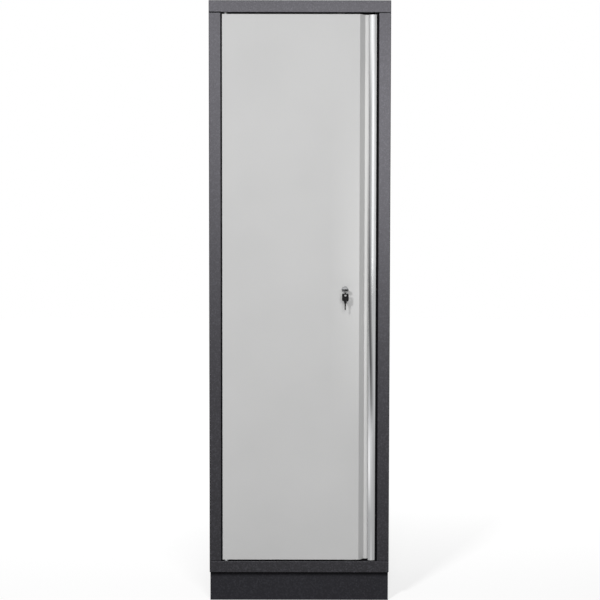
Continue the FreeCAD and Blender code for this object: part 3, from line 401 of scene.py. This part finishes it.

# %% [markdown]
# Only the lower half of the grip is polished. The upper half is satin, as the die left it, so a lamp
# shows in it as a soft band and not as a hard image. Its inner side carries a painted dark reflection,
# except near the top, and its right edge a painted highlight. The painted dark reflection of the lower
# half runs on into it. Raising the roughness step by step would pass through a wide, glaring stage. So
# the satin is a second Principled shader, and the two are blended over a hand's breadth.

# %% Satin upper half
SATIN_FROM = (1.02, 1.16)
SATIN_TONES = (0.28, 0.282, 0.286, 1), (0.34, 0.342, 0.346, 1)
DARK_SIDE_STRIP = (7.0, 12.5)
DARK_SIDE_TONES = (0.17, 0.171, 0.174, 1), (0.38, 0.383, 0.388, 1)
LIGHTER_TOP = (1.65, 1.88)
EDGE_SHEEN_STRIP = (21.3, 22.7)
EDGE_SHEEN_TONE = (0.62, 0.622, 0.626, 1)
SATIN_DARK_REFLECTION_TONE = (0.08, 0.08, 0.083, 1)
as_drawn = lines.mix(*SATIN_TONES)
# Painted reflections in the satin: a darker inner side, lighter near the top, a highlight on the right
# edge.
dark_side_reflection = grip_across.between(*DARK_SIDE_STRIP).mix(*DARK_SIDE_TONES)
satin_tone = grip_height.between(*LIGHTER_TOP).mix(dark_side_reflection, as_drawn)
satin_tone = grip_across.between(*EDGE_SHEEN_STRIP).mix(satin_tone, EDGE_SHEEN_TONE)
satin_tone = dark_reflection.mix(satin_tone, SATIN_DARK_REFLECTION_TONE)
satin_sockets = {"Base Color": satin_tone, "Metallic": 1.0, "Roughness": 0.55}
drawn.cover(grip_height.between(*SATIN_FROM), drawn.start.add("BsdfPrincipled", satin_sockets))
print("grip with satin:", len(drawn.start.tree.nodes), "nodes")

# %% [markdown]
# ## The lock's plating and the keys' dark steel
# The lock's nose is brushed and then chromed, which leaves it satin, without hard glints. The keys and
# their ring are a very dark steel, a painted dark reflection of the studio round them, a little
# lighter in streaks along the key. Both are metals with a noise drawn out the way the brush or the
# pocket went.

# %% Satin chrome and dark key steel
CHROME_TONES = (0.205, 0.207, 0.211, 1), (0.265, 0.267, 0.271, 1)
chrome = Finish("satin_chrome", Metallic=1.0)
brushed = chrome.noise(0.5, detail=2.0, place=chrome.stretched(x=0.1))
chrome.wire("Base Color", brushed.mix(*CHROME_TONES))
chrome.wire("Roughness", brushed * 0.08 + 0.54)
chrome.bump(brushed, 0.004, strength=0.2)
finishes["chrome"] = chrome

# The keys' dark grey is a painted dark reflection of the studio round them.
DARK_KEY_TONES = (0.020, 0.0195, 0.0185, 1), (0.046, 0.045, 0.043, 1)
dark_key_steel = Finish("dark_reflecting_key_steel", Metallic=1.0)
rub = dark_key_steel.noise(0.6, detail=3.0, place=dark_key_steel.stretched(z=0.2))
dark_key_steel.wire("Base Color", rub.mix(*DARK_KEY_TONES))
dark_key_steel.wire("Roughness", rub * 0.08 + 0.08)
dark_key_steel.bump(rub, 0.01, strength=0.3)
finishes["key_steel"] = dark_key_steel
print("plated metals:", [item.material.name for item in (chrome, dark_key_steel)])

# %% [markdown]
# ## Zinc plate
# The shelves and all the ironwork inside are zinc plated. The plating grows in spangles, cells of
# slightly different grey, over the fine lines of rolled sheet: Voronoi cells give one, a drawn-out
# noise the other. The door's upper pivot is painted dark where it stands above the door's edge, a
# painted shade that dims its glint.

# %% Zinc plate
ZINC_TONES = (0.30, 0.306, 0.316, 1), (0.47, 0.477, 0.485, 1)
PIVOT_SHADE_TONE = (0.11, 0.112, 0.115, 1)
DOOR_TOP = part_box("door_skin")[1].z
zinc = Finish("zinc_plate", Metallic=1.0)
spangle = zinc.start.add("SeparateColor", {"Color": zinc.cells(9.0, out="Color")}, out="Red")
haze = zinc.noise(60, detail=3.0)
rolled = zinc.noise(0.8, detail=2.0, place=zinc.stretched(x=0.02))
plated = (spangle * 0.45 + haze * 0.35 + rolled * 0.2).mix(*ZINC_TONES)
# Painted shade over the upper pivot, above the door's edge, which dims its glint.
pivot_shade = zinc.along("Z").between(*past(DOOR_TOP, -5.0, -1.0))
zinc.wire("Base Color", pivot_shade.mix(plated, PIVOT_SHADE_TONE))
zinc.wire("Roughness", spangle * 0.12 + rolled * 0.10 + 0.42)
zinc.bump(rolled * 0.5 + spangle * 0.5, 0.01, strength=0.3)
finishes["zinc_steel"] = zinc
print("zinc:", len(zinc.start.tree.nodes), "nodes")

# %% [markdown]
# ## Nylon, the keys' plastic and rubber
# The feet, bushes and guides are dark moulded nylon, and moulded surfaces have a faint stipple. A
# foot's stud is steel, but stud and pad are one piece in the frame. So the nylon's finish turns to
# metal at the height where the stud leaves the pad, and back again above the plinth.

# %% Nylon with a steel stud
NYLON_TONES = (0.018, 0.018, 0.02, 1), (0.034, 0.034, 0.037, 1)
STUD_HEIGHTS = (0.0085, 0.009), (0.10, 0.11)
STUD_TONE = (0.52, 0.53, 0.54, 1)
nylon = Finish("moulded_nylon")
stipple = nylon.noise(0.5, detail=2.0)
stud = nylon.along("Z").band(*STUD_HEIGHTS)
nylon.wire("Base Color", stud.mix(stipple.mix(*NYLON_TONES), STUD_TONE))
nylon.wire("Metallic", stud)
nylon.wire("Roughness", stipple * 0.15 + 0.42 - stud * 0.15)
nylon.bump(stipple, 0.02, strength=0.4)
finishes["nylon"] = nylon
print("nylon:", len(nylon.start.tree.nodes), "nodes")

# %% [markdown]
# The keys' bows are black plastic that pockets have polished in patches: where a slow noise is high,
# the plastic is less rough. The rubber buffers behind the door are dull and hold dust. Both need only
# one or two noises.

# %% Black plastic and rubber
BOW_TONES = (0.005, 0.005, 0.0055, 1), (0.009, 0.009, 0.0095, 1)
bow_plastic = Finish("bow_plastic", Specular_IOR_Level=0.05)
matt = bow_plastic.noise(0.35, detail=2.0)
worn = bow_plastic.noise(5.0, detail=3.0).between(0.45, 0.75)
bow_plastic.wire("Base Color", worn.mix(*BOW_TONES))
bow_plastic.wire("Roughness", 0.48 - worn * 0.14 + matt * 0.06)
bow_plastic.bump(matt, 0.015, strength=0.4)
finishes["key_plastic"] = bow_plastic

RUBBER_TONES = (0.014, 0.014, 0.014, 1), (0.036, 0.035, 0.034, 1)
rubber = Finish("buffer_rubber", Specular_IOR_Level=0.3)
dust = rubber.noise(0.9, detail=3.0)
rubber.wire("Base Color", dust.mix(*RUBBER_TONES))
rubber.wire("Roughness", dust * 0.2 + 0.65)
rubber.bump(dust, 0.03, strength=0.4)
finishes["rubber"] = rubber
print("all finishes:", sorted(finishes))

# %% [markdown]
# ## Paint the frame
# The record says which finish each piece takes, so all pieces are painted in one pass, also those that
# are made again below. The four boards of the plinth take their matt kind of the dark paint.

# %% Give each piece its finish
PLINTH_BOARDS = ("plinth_front", "plinth_rear", "plinth_left", "plinth_right")
for piece in frame["record"]["subparts"]:
    finish = plinth_coat if piece["node"] in PLINTH_BOARDS else finishes[piece["material_slot"]]
    painted = nodes[piece["node"]].data
    painted.materials.clear()
    painted.materials.append(finish.material)

# %% [markdown]
# ## Skins over rings of points
# Turned, bent and cut pieces have one thing in common: they can be described by rings of points, one
# after the other, with a skin stretched over them. Modifiers could do some of it, but rings keep every
# size in sight. One helper makes the skin, and another puts the piece in the scene, in place of the
# plain solid, on the body it moves with.

# %% Helpers for small pieces
SHARP_FROM = math.radians(32)


def circle(radius, count):
    """Points round a circle, as pairs."""
    turns = [2 * math.pi * index / count for index in range(count)]
    return [(radius * math.cos(turn), radius * math.sin(turn)) for turn in turns]


def bridge(mesh, low, high):
    """Four-sided faces between two rings of vertices."""
    for index in range(len(low)):
        mesh.faces.new((low[index - 1], low[index], high[index], high[index - 1]))


def skin(rings, closed=False):
    """Stretch faces over rings of points. The ends are capped, or meet if the row of rings is closed."""
    mesh = bmesh.new()
    rings = [[mesh.verts.new(point) for point in ring] for ring in rings]
    following = rings[1:] + rings[:1] if closed else rings[1:]
    for low, high in zip(rings, following):
        bridge(mesh, low, high)
    if not closed:
        mesh.faces.new(rings[0])
        mesh.faces.new(rings[-1])
    return mesh


def put_in_place(name, mesh, slot, body, *solids):
    """Make a piece of a mesh, with its finish, on a body, in place of plain solids."""
    bmesh.ops.recalc_face_normals(mesh, faces=mesh.faces)
    data = bpy.data.meshes.new(name)
    mesh.to_mesh(data)
    mesh.free()
    data.shade_smooth()
    data.set_sharp_from_angle(angle=SHARP_FROM)
    data.materials.append(finishes[slot].material)
    piece = bpy.data.objects.new(name, data)
    bpy.context.scene.collection.objects.link(piece)
    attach(piece, body)
    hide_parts(*solids)
    print(name, "has", len(data.polygons), "faces")


print("helpers for rings, skins and pieces")

# %% [markdown]
# ## The lock's nose
# A cam or rod lock has a turned brass body: a low head with a bevelled rim and a shallow groove, and a
# barrel with a fine thread for the nut behind the door. On a lathe it is one profile, so here it is one
# too: pairs of radius and depth behind the door's face, swept round the lock's axis. The thread's turns
# are closed grooves, because nobody sees the difference from a helix.

# %% Turned lock body
lock_low, lock_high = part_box("lock_housing")
LOCK_X = (lock_low.x + lock_high.x) / 2
LOCK_Z = (lock_low.z + lock_high.z) / 2
HEAD_RADIUS = (lock_high.x - lock_low.x) / 2 / MM
HEAD_HEIGHT = (FRONT - lock_low.y) / MM
BARREL_LENGTH = (lock_high.y - FRONT) / MM
BARREL_RADIUS = 9.5
BORE_RADIUS = 6.05
GROOVE_RADIUS = 8.3
HEAD_BEVEL = 1.1
EASED_EDGE = 0.3
THREAD_START = 1.6
THREAD_PITCH = 1.0
THREAD_TURNS = 16
THREAD_STEPS = ((0.15, 0.0), (0.5, 0.45), (0.6, 0.45), (0.95, 0.0))
BARREL_BEVEL = 0.1
bore = [(BORE_RADIUS, BARREL_LENGTH), (BORE_RADIUS, EASED_EDGE - HEAD_HEIGHT),
        (BORE_RADIUS + EASED_EDGE, -HEAD_HEIGHT)]
groove = [(GROOVE_RADIUS - EASED_EDGE, -HEAD_HEIGHT), (GROOVE_RADIUS, EASED_EDGE - HEAD_HEIGHT),
          (GROOVE_RADIUS + EASED_EDGE, -HEAD_HEIGHT)]
rim = [(HEAD_RADIUS - HEAD_BEVEL, -HEAD_HEIGHT), (HEAD_RADIUS, HEAD_BEVEL - HEAD_HEIGHT),
       (HEAD_RADIUS, 0.0)]
nose_profile = bore + groove + rim + [(BARREL_RADIUS, 0.0), (BARREL_RADIUS, THREAD_START)]
for turn in range(THREAD_TURNS):
    start = THREAD_START + turn * THREAD_PITCH
    nose_profile += [(BARREL_RADIUS - deep, start + share * THREAD_PITCH) for share, deep in THREAD_STEPS]
nose_profile.append((BARREL_RADIUS - BARREL_BEVEL, BARREL_LENGTH))


def turned(profile, axis_x, axis_z, face_y, count=64):
    """Rings of a lathe profile round an axis that runs front to back."""
    rings = []
    for radius, depth in profile:
        y = face_y + depth * MM
        rings.append([Vector((axis_x + u * MM, y, axis_z + w * MM)) for u, w in circle(radius, count)])
    return rings


nose = skin(turned(nose_profile, LOCK_X, LOCK_Z, FRONT), closed=True)
put_in_place("lock_nose", nose, "chrome", "door", "lock_housing")

# %% [markdown]
# ## Keys
# A flat key is a steel blank with a milled groove, cut to its lock along one edge, and a moulded bow.
# Key and spare are the same, so one function makes both. It works along the key, in millimetres from
# the lock's face: the blade is a row of cross-sections, each with the groove in both faces, and with
# its cut edge stepped in.

# %% Cross-sections of a blade
blade_low, blade_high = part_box("key_blade")
BLADE_WIDTH = (blade_high.x - blade_low.x) / MM
BLADE_THICKNESS = (blade_high.z - blade_low.z) / MM
BLADE_TIP = (blade_high.y - lock_low.y) / MM
BLADE_ROOT = (blade_low.y - lock_low.y) / MM
BLADE_BEVEL = 0.2
ROOT_BEVEL = 0.6
MILLED_LEFT = -1.3
MILLED_RIGHT = -0.2
MILLED_SLOPE = 0.2
MILLED_DEPTH = 0.35
FIRST_CUT = 3.2
CUT_PITCH = 2.2
CUT_FLAT = 1.2
CUT_DEPTHS = (1.1, 0.4, 1.4, 0.7, 1.3, 0.3)
UNCUT_FROM = -9.0
cuts = [(UNCUT_FROM, 0.0), (FIRST_CUT - CUT_FLAT, 0.0)]
for index, depth in enumerate(CUT_DEPTHS):
    start = FIRST_CUT + index * CUT_PITCH
    cuts += [(start, depth), (start + CUT_FLAT, depth)]


def blade_section(along, inset, cut):
    """One cross-section of the blade: grooved on both faces, with its right edge cut in."""
    left = inset - BLADE_WIDTH / 2
    right = BLADE_WIDTH / 2 - max(inset, cut)
    thick = BLADE_THICKNESS / 2
    deep = thick - MILLED_DEPTH
    milled = [(MILLED_LEFT, thick), (MILLED_LEFT + MILLED_SLOPE, deep)]
    milled += [(MILLED_RIGHT - MILLED_SLOPE, deep), (MILLED_RIGHT, thick)]
    front = [(left, thick)] + milled + [(right - BLADE_BEVEL, thick)]
    edge = [(right, thick - BLADE_BEVEL), (right, BLADE_BEVEL - thick)]
    back = [(u, -w) for u, w in reversed(front)]
    return [(u, along, w) for u, w in front + edge + back]


print("a blade of", round(BLADE_TIP - BLADE_ROOT, 1), "mm with", len(CUT_DEPTHS), "cuts")

# %% [markdown]
# The key in the lock points into the door, and the spare hangs down from the ring. Two small functions
# turn the key's own millimetres into those two places, so the same sections serve both.

# %% Key blades
spare_low, spare_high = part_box("spare_key_blade")
SPARE_Y = (spare_low.y + spare_high.y) / 2
# Each row is a way back from the tip, an inset of both edges and a depth of the cut.
TIP_ROWS = ((2.2, 0.0, 0.9), (1.4, 0.0, 1.4), (0.6, 0.7, 1.6), (0.0, 1.1, 2.0))


def in_lock(point):
    """From the key's own millimetres to the key in the lock, whose blade points into the door."""
    u, along, w = point
    return Vector((LOCK_X + u * MM, lock_low.y + along * MM, LOCK_Z + w * MM))


def on_ring(point):
    """From the key's own millimetres to the spare key, whose blade hangs down."""
    u, along, w = point
    return Vector((LOCK_X + u * MM, SPARE_Y + w * MM, spare_low.z + (BLADE_TIP - along) * MM))


def blade_rings(to_place):
    """The blade's sections in their place: a bevelled root, the cuts, and a tip that narrows."""
    rows = [(BLADE_ROOT, ROOT_BEVEL, ROOT_BEVEL), (BLADE_ROOT + ROOT_BEVEL, 0.0, 0.0)]
    rows += [(along, 0.0, cut) for along, cut in cuts]
    rows += [(BLADE_TIP - back, inset, cut) for back, inset, cut in TIP_ROWS]
    return [[to_place(point) for point in blade_section(*row)] for row in rows]


put_in_place("key_shank", skin(blade_rings(in_lock)), "key_steel", "key", "key_blade")
put_in_place("spare_key_shank", skin(blade_rings(on_ring)), "key_steel", "spare_key", "spare_key_blade")

# %% [markdown]
# The bow is moulded round the blade's tang. Its edge is rounded, a raised border runs along it, and a
# collar stands round the hole for the ring. Each of those is an outline, pulled in a little and set at
# a height. The outline itself is a few corners, each with the radius that rounds it.

# %% Outline of a bow
BOW_HALF = 10.75
NECK_HALF = 4.3
# Each corner is a place across and along the key, and the radius that rounds it.
right_corners = [(NECK_HALF, -2.5, 2.0), (NECK_HALF, -9.0, 1.5),
                 (BOW_HALF, -12.5, 3.0), (BOW_HALF, -36.0, 5.0)]
left_corners = [(-u, v, radius) for u, v, radius in reversed(right_corners)]


def rounded_outline(corners, steps=8):
    """A closed outline through corners, each with its radius, as points in the plane."""
    outline = []
    for index, (u, v, radius) in enumerate(corners):
        here = Vector((u, v))
        before = (Vector(corners[index - 1][:2]) - here).normalized()
        after = (Vector(corners[(index + 1) % len(corners)][:2]) - here).normalized()
        opening = before.angle(after)
        reach = radius / math.tan(opening / 2)
        middle = here + (before + after).normalized() * radius / math.sin(opening / 2)
        start = here + before * reach - middle
        sweep = start.angle_signed(here + after * reach - middle)
        for step in range(steps + 1):
            outline.append(middle + Matrix.Rotation(-sweep * step / steps, 2) @ start)
    return outline


def pulled_in(outline, inset):
    """The outline moved inwards along its normals."""
    moved = []
    for index, point in enumerate(outline):
        along = (outline[(index + 1) % len(outline)] - outline[index - 1]).normalized()
        moved.append(point + Vector((along.y, -along.x)) * inset)
    return moved


bow_outline = rounded_outline(right_corners + left_corners)
print("the bow's outline has", len(bow_outline), "points")

# %% [markdown]
# On each side of the bow, rings climb from the edge over the border and sink to the panel, and others
# do the same round the hole. The panel between them is filled with triangles, and the two sides are
# joined round the edge and through the hole. That gives one closed piece, with no faces hidden inside.

# %% Key bows
bow_low, bow_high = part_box("key_bow")
BOW_HALF_THICKNESS = (bow_high.z - bow_low.z) / MM / 2
BOW_HOLE_RADIUS = 3.5
BOW_HOLE_ALONG = -29.0
HOLE_STEPS = 40
# Each step is a way in from the edge, or out from the hole, and a way down from the bow's top.
EDGE_STEPS = [(0.0, 0.5), (0.15, 0.15), (0.5, 0.0), (1.5, 0.0), (1.8, 0.3)]
COLLAR_STEPS = [(0.0, 0.25), (0.25, 0.02), (0.9, 0.02), (1.15, 0.3)]


def hole_outline(widening):
    """A circle round the bow's hole, wider than the hole."""
    points = circle(BOW_HOLE_RADIUS + widening, HOLE_STEPS)
    return [Vector((u, BOW_HOLE_ALONG + v)) for u, v in points]


def bow_mesh(to_place):
    """The bow in its place, as one closed mesh."""
    mesh = bmesh.new()

    def climb(outlines, side):
        """Rings of vertices on one side of the bow, with faces between them."""
        rings = []
        for points, drop in outlines:
            level = side * (BOW_HALF_THICKNESS - drop)
            rings.append([mesh.verts.new(to_place((point.x, point.y, level))) for point in points])
        for low, high in zip(rings, rings[1:]):
            bridge(mesh, low, high)
        return rings

    outermost = {}
    for side in (1, -1):
        border = climb([(pulled_in(bow_outline, inset), drop) for inset, drop in EDGE_STEPS], side)
        collar = climb([(hole_outline(widening), drop) for widening, drop in COLLAR_STEPS], side)
        rims = []
        for ring in (border[-1], collar[-1]):
            rims += [mesh.edges.get((ring[index - 1], ring[index])) for index in range(len(ring))]
        bmesh.ops.triangle_fill(mesh, edges=rims, use_beauty=True)
        outermost[side] = (border[0], collar[0])
    for top, bottom in zip(outermost[1], outermost[-1]):
        bridge(mesh, top, bottom)
    return mesh


put_in_place("key_grip", bow_mesh(in_lock), "key_plastic", "key", "key_bow")
put_in_place("spare_key_grip", bow_mesh(on_ring), "key_plastic", "spare_key", "spare_key_bow")

# %% [markdown]
# ## Split ring
# A split ring is two turns of flattened spring wire, side by side, and each end lies against the other
# turn. A curve with a bevel could follow the path, but its section would turn along the way. So the
# path is a very short helix of our own, and the wire's section is a rounded rectangle that narrows at
# the two ends.

# %% Split ring
ring_low, ring_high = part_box("key_ring")
ring_middle = (ring_low + ring_high) / 2
RING_RADIUS = 9.0
WIRE_WIDE = 0.76
WIRE_HIGH = 1.5
COIL_STEPS = 150
COIL_TURNS = 1.95
COIL_START = 0.6
CROSSING = 9
END_SHARE = 0.25
END_SLOPE = 12
wire_section = [(0.5, -0.3), (0.5, 0.3), (0.32, 0.5), (-0.32, 0.5),
                (-0.5, 0.3), (-0.5, -0.3), (-0.32, -0.5), (0.32, -0.5)]


def coil_ring(step):
    """The wire's section at one step: it crosses to the other side half way, and is thin at both ends."""
    share = step / COIL_STEPS
    turn = 2 * math.pi * COIL_TURNS * share + COIL_START
    slide = max(-1.0, min(1.0, (share - 0.5) * CROSSING))
    taper = min(1.0, END_SHARE + END_SLOPE * min(share, 1 - share))
    points = []
    for wide, out in wire_section:
        radius = (RING_RADIUS + out * WIRE_HIGH * taper) * MM
        sideways = (slide / 2 + wide) * WIRE_WIDE * MM
        points.append(ring_middle + Vector((sideways, math.cos(turn) * radius, math.sin(turn) * radius)))
    return points


coil = skin([coil_ring(step) for step in range(COIL_STEPS + 1)])
put_in_place("split_ring", coil, "key_steel", "key", "key_ring")

# %% [markdown]
# ## Screws and rivets
# The construction model says where each screw and rivet is, but a node holds several of them in one
# mesh. We could type their places again, and they would go wrong with the next change of size. Instead
# we follow the edges from vertex to vertex, which finds every separate solid, and note its box.

# %% Boxes of separate solids
SAME_PLACE = 1e-6


def solids_of(node):
    """The box of each separate solid in a node, as its lowest and highest corner, in a steady order."""
    mesh = bmesh.new()
    mesh.from_mesh(nodes[node].data)
    bmesh.ops.remove_doubles(mesh, verts=mesh.verts, dist=SAME_PLACE)
    seen = set()
    boxes = []
    for first in mesh.verts:
        if first in seen:
            continue
        seen.add(first)
        group = [first]
        for vertex in group:
            for edge in vertex.link_edges:
                other = edge.other_vert(vertex)
                if other not in seen:
                    seen.add(other)
                    group.append(other)
        axes = list(zip(*(vertex.co for vertex in group)))
        boxes.append((Vector([min(values) for values in axes]), Vector([max(values) for values in axes])))
    mesh.free()
    return sorted(boxes, key=lambda corners: tuple(round(value, 4) for value in corners[0]))


FASTENERS = ("carcass_screws", "plinth_bolts", "lock_case_screws", "back_rivets")
print({node: len(solids_of(node)) for node in FASTENERS})

# %% [markdown]
# The panels are held by button-head screws with a hexagon socket. A screw is a lathe shape, except for
# the socket, whose rings are six-sided. If a hexagon is drawn with as many points as a circle, the same
# skin runs from one to the other.

# %% Button-head screw
ROUND_STEPS = 24
SOCKET_SHARE = 0.65
SOCKET_EASE = 0.1
FLAT_SHARE = 0.62
DOME_SHARE = 0.75
DOME_STEPS = (0.3, 0.6, 0.85, 1.0)
POINT_LENGTH = 0.8
POINT_SHARE = 0.7
PANEL_SCREW = {"head_radius": 5.0, "head_height": 3.0, "shank_radius": 3.0, "socket": 4.0}


def six_sided(across_flats):
    """Points round a hexagon, as many as round a circle."""
    points = []
    for u, v in circle(1.0, ROUND_STEPS):
        turn = math.atan2(v, u) % (math.pi / 3) - math.pi / 6
        reach = across_flats / 2 / math.cos(turn)
        points.append((u * reach, v * reach))
    return points


def screw_rows(length, head_radius, head_height, shank_radius, socket):
    """Outlines of a screw and their depths: up out of the socket, over the head, and down the shank."""
    rows = [(six_sided(socket), SOCKET_SHARE * head_height), (six_sided(socket), SOCKET_EASE)]
    profile = [(FLAT_SHARE * head_radius, 0.0)]
    for share in DOME_STEPS:
        reach = FLAT_SHARE + (1 - FLAT_SHARE) * math.sin(share * math.pi / 2)
        profile.append((head_radius * reach, DOME_SHARE * head_height * share ** 2))
    profile += [(head_radius, head_height), (shank_radius, head_height)]
    profile += [(shank_radius, length - POINT_LENGTH), (POINT_SHARE * shank_radius, length)]
    return rows + [(circle(radius, ROUND_STEPS), depth) for radius, depth in profile]


def button_screw(box, way, **sizes):
    """A screw along its box: way is the direction in which its head points."""
    low, high = box
    length = abs((high - low).dot(way)) / MM
    top = (low + high) / 2 + way * length / 2 * MM
    across = way.orthogonal().normalized()
    other = way.cross(across)
    rings = []
    for points, depth in screw_rows(length, **sizes):
        level = top - way * depth * MM
        rings.append([level + across * u * MM + other * v * MM for u, v in points])
    return skin(rings)


print("a panel screw has", len(screw_rows(length=20, **PANEL_SCREW)), "rings")

# %% [markdown]
# The heads of the cap's screws face down and those of the base's and the plinth's screws face up, so a
# screw's height tells its way. The small screws of the lock's case all face the cabinet's inside. One
# mesh for all screws of a node keeps the list of pieces the same as in the frame.

# %% Screws of the panels, the plinth and the lock's case
CASE_SCREW = {"head_height": 1.6, "shank_radius": 1.4, "socket": 2.0}
MID_HEIGHT = (cabinet_box[0].z + cabinet_box[1].z) / 2


def gathered(meshes):
    """Several meshes as one."""
    whole = bmesh.new()
    for mesh in meshes:
        part = bpy.data.meshes.new("part")
        mesh.to_mesh(part)
        mesh.free()
        whole.from_mesh(part)
        bpy.data.meshes.remove(part)
    return whole


for node, name in (("carcass_screws", "panel_screws"), ("plinth_bolts", "plinth_screws")):
    screws = []
    for box in solids_of(node):
        upwards = 1 if box[1].z < MID_HEIGHT else -1
        screws.append(button_screw(box, Vector((0, 0, upwards)), **PANEL_SCREW))
    put_in_place(name, gathered(screws), "zinc_steel", "carcass", node)

case_screws = []
for box in solids_of("lock_case_screws"):
    radius = (box[1].x - box[0].x) / 2 / MM
    case_screws.append(button_screw(box, Vector((0, 1, 0)), head_radius=radius, **CASE_SCREW))
put_in_place("case_screws", gathered(case_screws), "zinc_steel", "door", "lock_case_screws")

# %% [markdown]
# The back panel is riveted to the sides. A blind rivet shows a low dome outside or inside, here on the
# inside, and its shank goes through the sheets. That is a lathe profile again, so the lock's helper
# makes it.

# %% Rivets
RIVET_HEAD = 3.6
RIVET_SHANK = 2.0
rivet_profile = [(0.6, -3.2), (1.4, -3.18), (2.4, -3.0), (3.2, -2.65), (RIVET_HEAD, -2.2)]
rivet_profile += [(RIVET_HEAD, -2.0), (RIVET_SHANK, -2.0), (RIVET_SHANK, 0.0)]
rivets = []
for low, high in solids_of("back_rivets"):
    middle = (low + high) / 2
    rivets.append(skin(turned(rivet_profile, middle.x, middle.z, high.y, ROUND_STEPS)))
put_in_place("domed_rivets", gathered(rivets), "zinc_steel", "carcass", "back_rivets")

# %% [markdown]
# ## Floor and surroundings
# The studio is a pale floor under a white world. For the camera, and in mirrors, the floor also glows,
# so that it comes out white while it still takes the cabinet's shadow. The glow is stronger behind the
# cabinet and far away, where the lamps reach less. More light on the floor would do the same, but it
# would also bleach the cabinet.

# %% Pale floor
FLOOR_REACH = 14.0
PAPER = (0.62, 0.62, 0.62, 1)
NEAR_GLOW = (0.67, 0.67, 0.67, 1)
FAR_GLOW = (0.94, 0.94, 0.94, 1)
BEHIND_CABINET = (-0.6, 1.5)
FAR_AWAY = (3.5, 6.0)
bpy.ops.mesh.primitive_grid_add(x_subdivisions=8, y_subdivisions=8, size=2 * FLOOR_REACH)
floor = bpy.context.object
floor.name = "studio_floor"
paper = bpy.data.materials.new("floor_paper")
paper.use_nodes = True
paper.node_tree.nodes.clear()
sheet = Wire(paper.node_tree)


def seen_directly(start):
    """1 for what is seen, straight, in a mirror or through glass, and 0 for light on matt surfaces."""
    kinds = ("Is Camera Ray", "Is Glossy Ray", "Is Transmission Ray")
    rays = [start.add("LightPath", out=kind) for kind in kinds]
    return start.add("Math", {"Value": rays[0] + rays[1] + rays[2], "Value_001": 1.0}, operation="MINIMUM")


spot = sheet.add("TexCoord", out="Object")
behind = sheet.add("SeparateXYZ", {"Vector": spot}, out="Y").between(*BEHIND_CABINET)
far = sheet.add("VectorMath", {"Vector": spot}, out="Value", operation="LENGTH").between(*FAR_AWAY)
glow_sockets = {"Color": (behind + far).mix(NEAR_GLOW, FAR_GLOW), "Strength": seen_directly(sheet)}
glow = sheet.add("Emission", glow_sockets)
matt_paper = sheet.add("BsdfDiffuse", {"Color": PAPER})
glowing_paper = sheet.add("AddShader", {"Shader": matt_paper, "Shader_001": glow})
sheet.add("OutputMaterial", {"Surface": glowing_paper})
floor.data.materials.append(paper)
print("floor", floor.dimensions.x, "m wide")

# %% [markdown]
# The world is white to the camera and in mirrors, but dimmer as a light, so that the lamps shape the
# cabinet. The Light Path node tells the two apart, as it did for the floor.

# %% White world
AMBIENT = 0.10
world = bpy.data.worlds.new("white_studio")
bpy.context.scene.world = world
world.use_nodes = True
world.node_tree.nodes.clear()
air = Wire(world.node_tree)
air_sockets = {"Color": (1, 1, 1, 1), "Strength": seen_directly(air) * (1 - AMBIENT) + AMBIENT}
air.add("OutputWorld", {"Surface": air.add("Background", air_sockets)})
print("the world's share of the light:", AMBIENT)

# %% [markdown]
# ## Studio lamps
# The key's shadow on the door falls down and to the right, so the main lamp stands up on the left. The
# paint is lightest at the top: that is a large soft lamp, high in front, mirrored in the coat. Both are
# square area lamps, which give soft shadows, and each is aimed at a point on the door.

# %% Lamps
def soft_lamp(name, place, aim_height, size, power):
    """A square lamp, turned to a height on the middle of the door."""
    lamp = bpy.data.lights.new(name, "AREA")
    lamp.shape = "SQUARE"
    lamp.size = size
    lamp.energy = power
    holder = bpy.data.objects.new(name, lamp)
    holder.location = place
    aim = Vector((0, FRONT, aim_height))
    holder.rotation_euler = (aim - Vector(place)).to_track_quat("-Z", "Y").to_euler()
    bpy.context.scene.collection.objects.link(holder)
    print(name, "of", power, "W")


soft_lamp("main_lamp", (-1.45, -4.4, 2.70), aim_height=1.1, size=0.5, power=90)
soft_lamp("high_lamp", (0.5, -5.4, 1.97), aim_height=1.4, size=1.8, power=150)

# %% [markdown]
# ## Camera
# The photograph looks almost straight at the door from five metres, at shoulder height and tilted a
# little down. A long lens keeps the posts upright. A slight shift and a trace of roll settle the
# picture in its frame.

# %% Camera
EYE_HEIGHT = 1.278
EYE_DISTANCE = 5.0
TILT = math.radians(90 - 3.18)
ROLL = math.radians(0.08)
camera_data = bpy.data.cameras.new("studio_camera")
camera_data.sensor_width = 36
camera_data.lens = 90.53
camera_data.shift_x = 0.0008
camera_data.shift_y = 0.007
camera = bpy.data.objects.new("studio_camera", camera_data)
bpy.context.scene.collection.objects.link(camera)
eye = Matrix.Translation((0, FRONT - EYE_DISTANCE, EYE_HEIGHT))
camera.matrix_world = eye @ Matrix.Rotation(TILT, 4, "X") @ Matrix.Rotation(ROLL, 4, "Z")
bpy.context.scene.camera = camera
bpy.context.scene.view_settings.view_transform = "Standard"
print("camera", round(camera_data.lens, 1), "mm at", [round(value, 3) for value in camera.location])
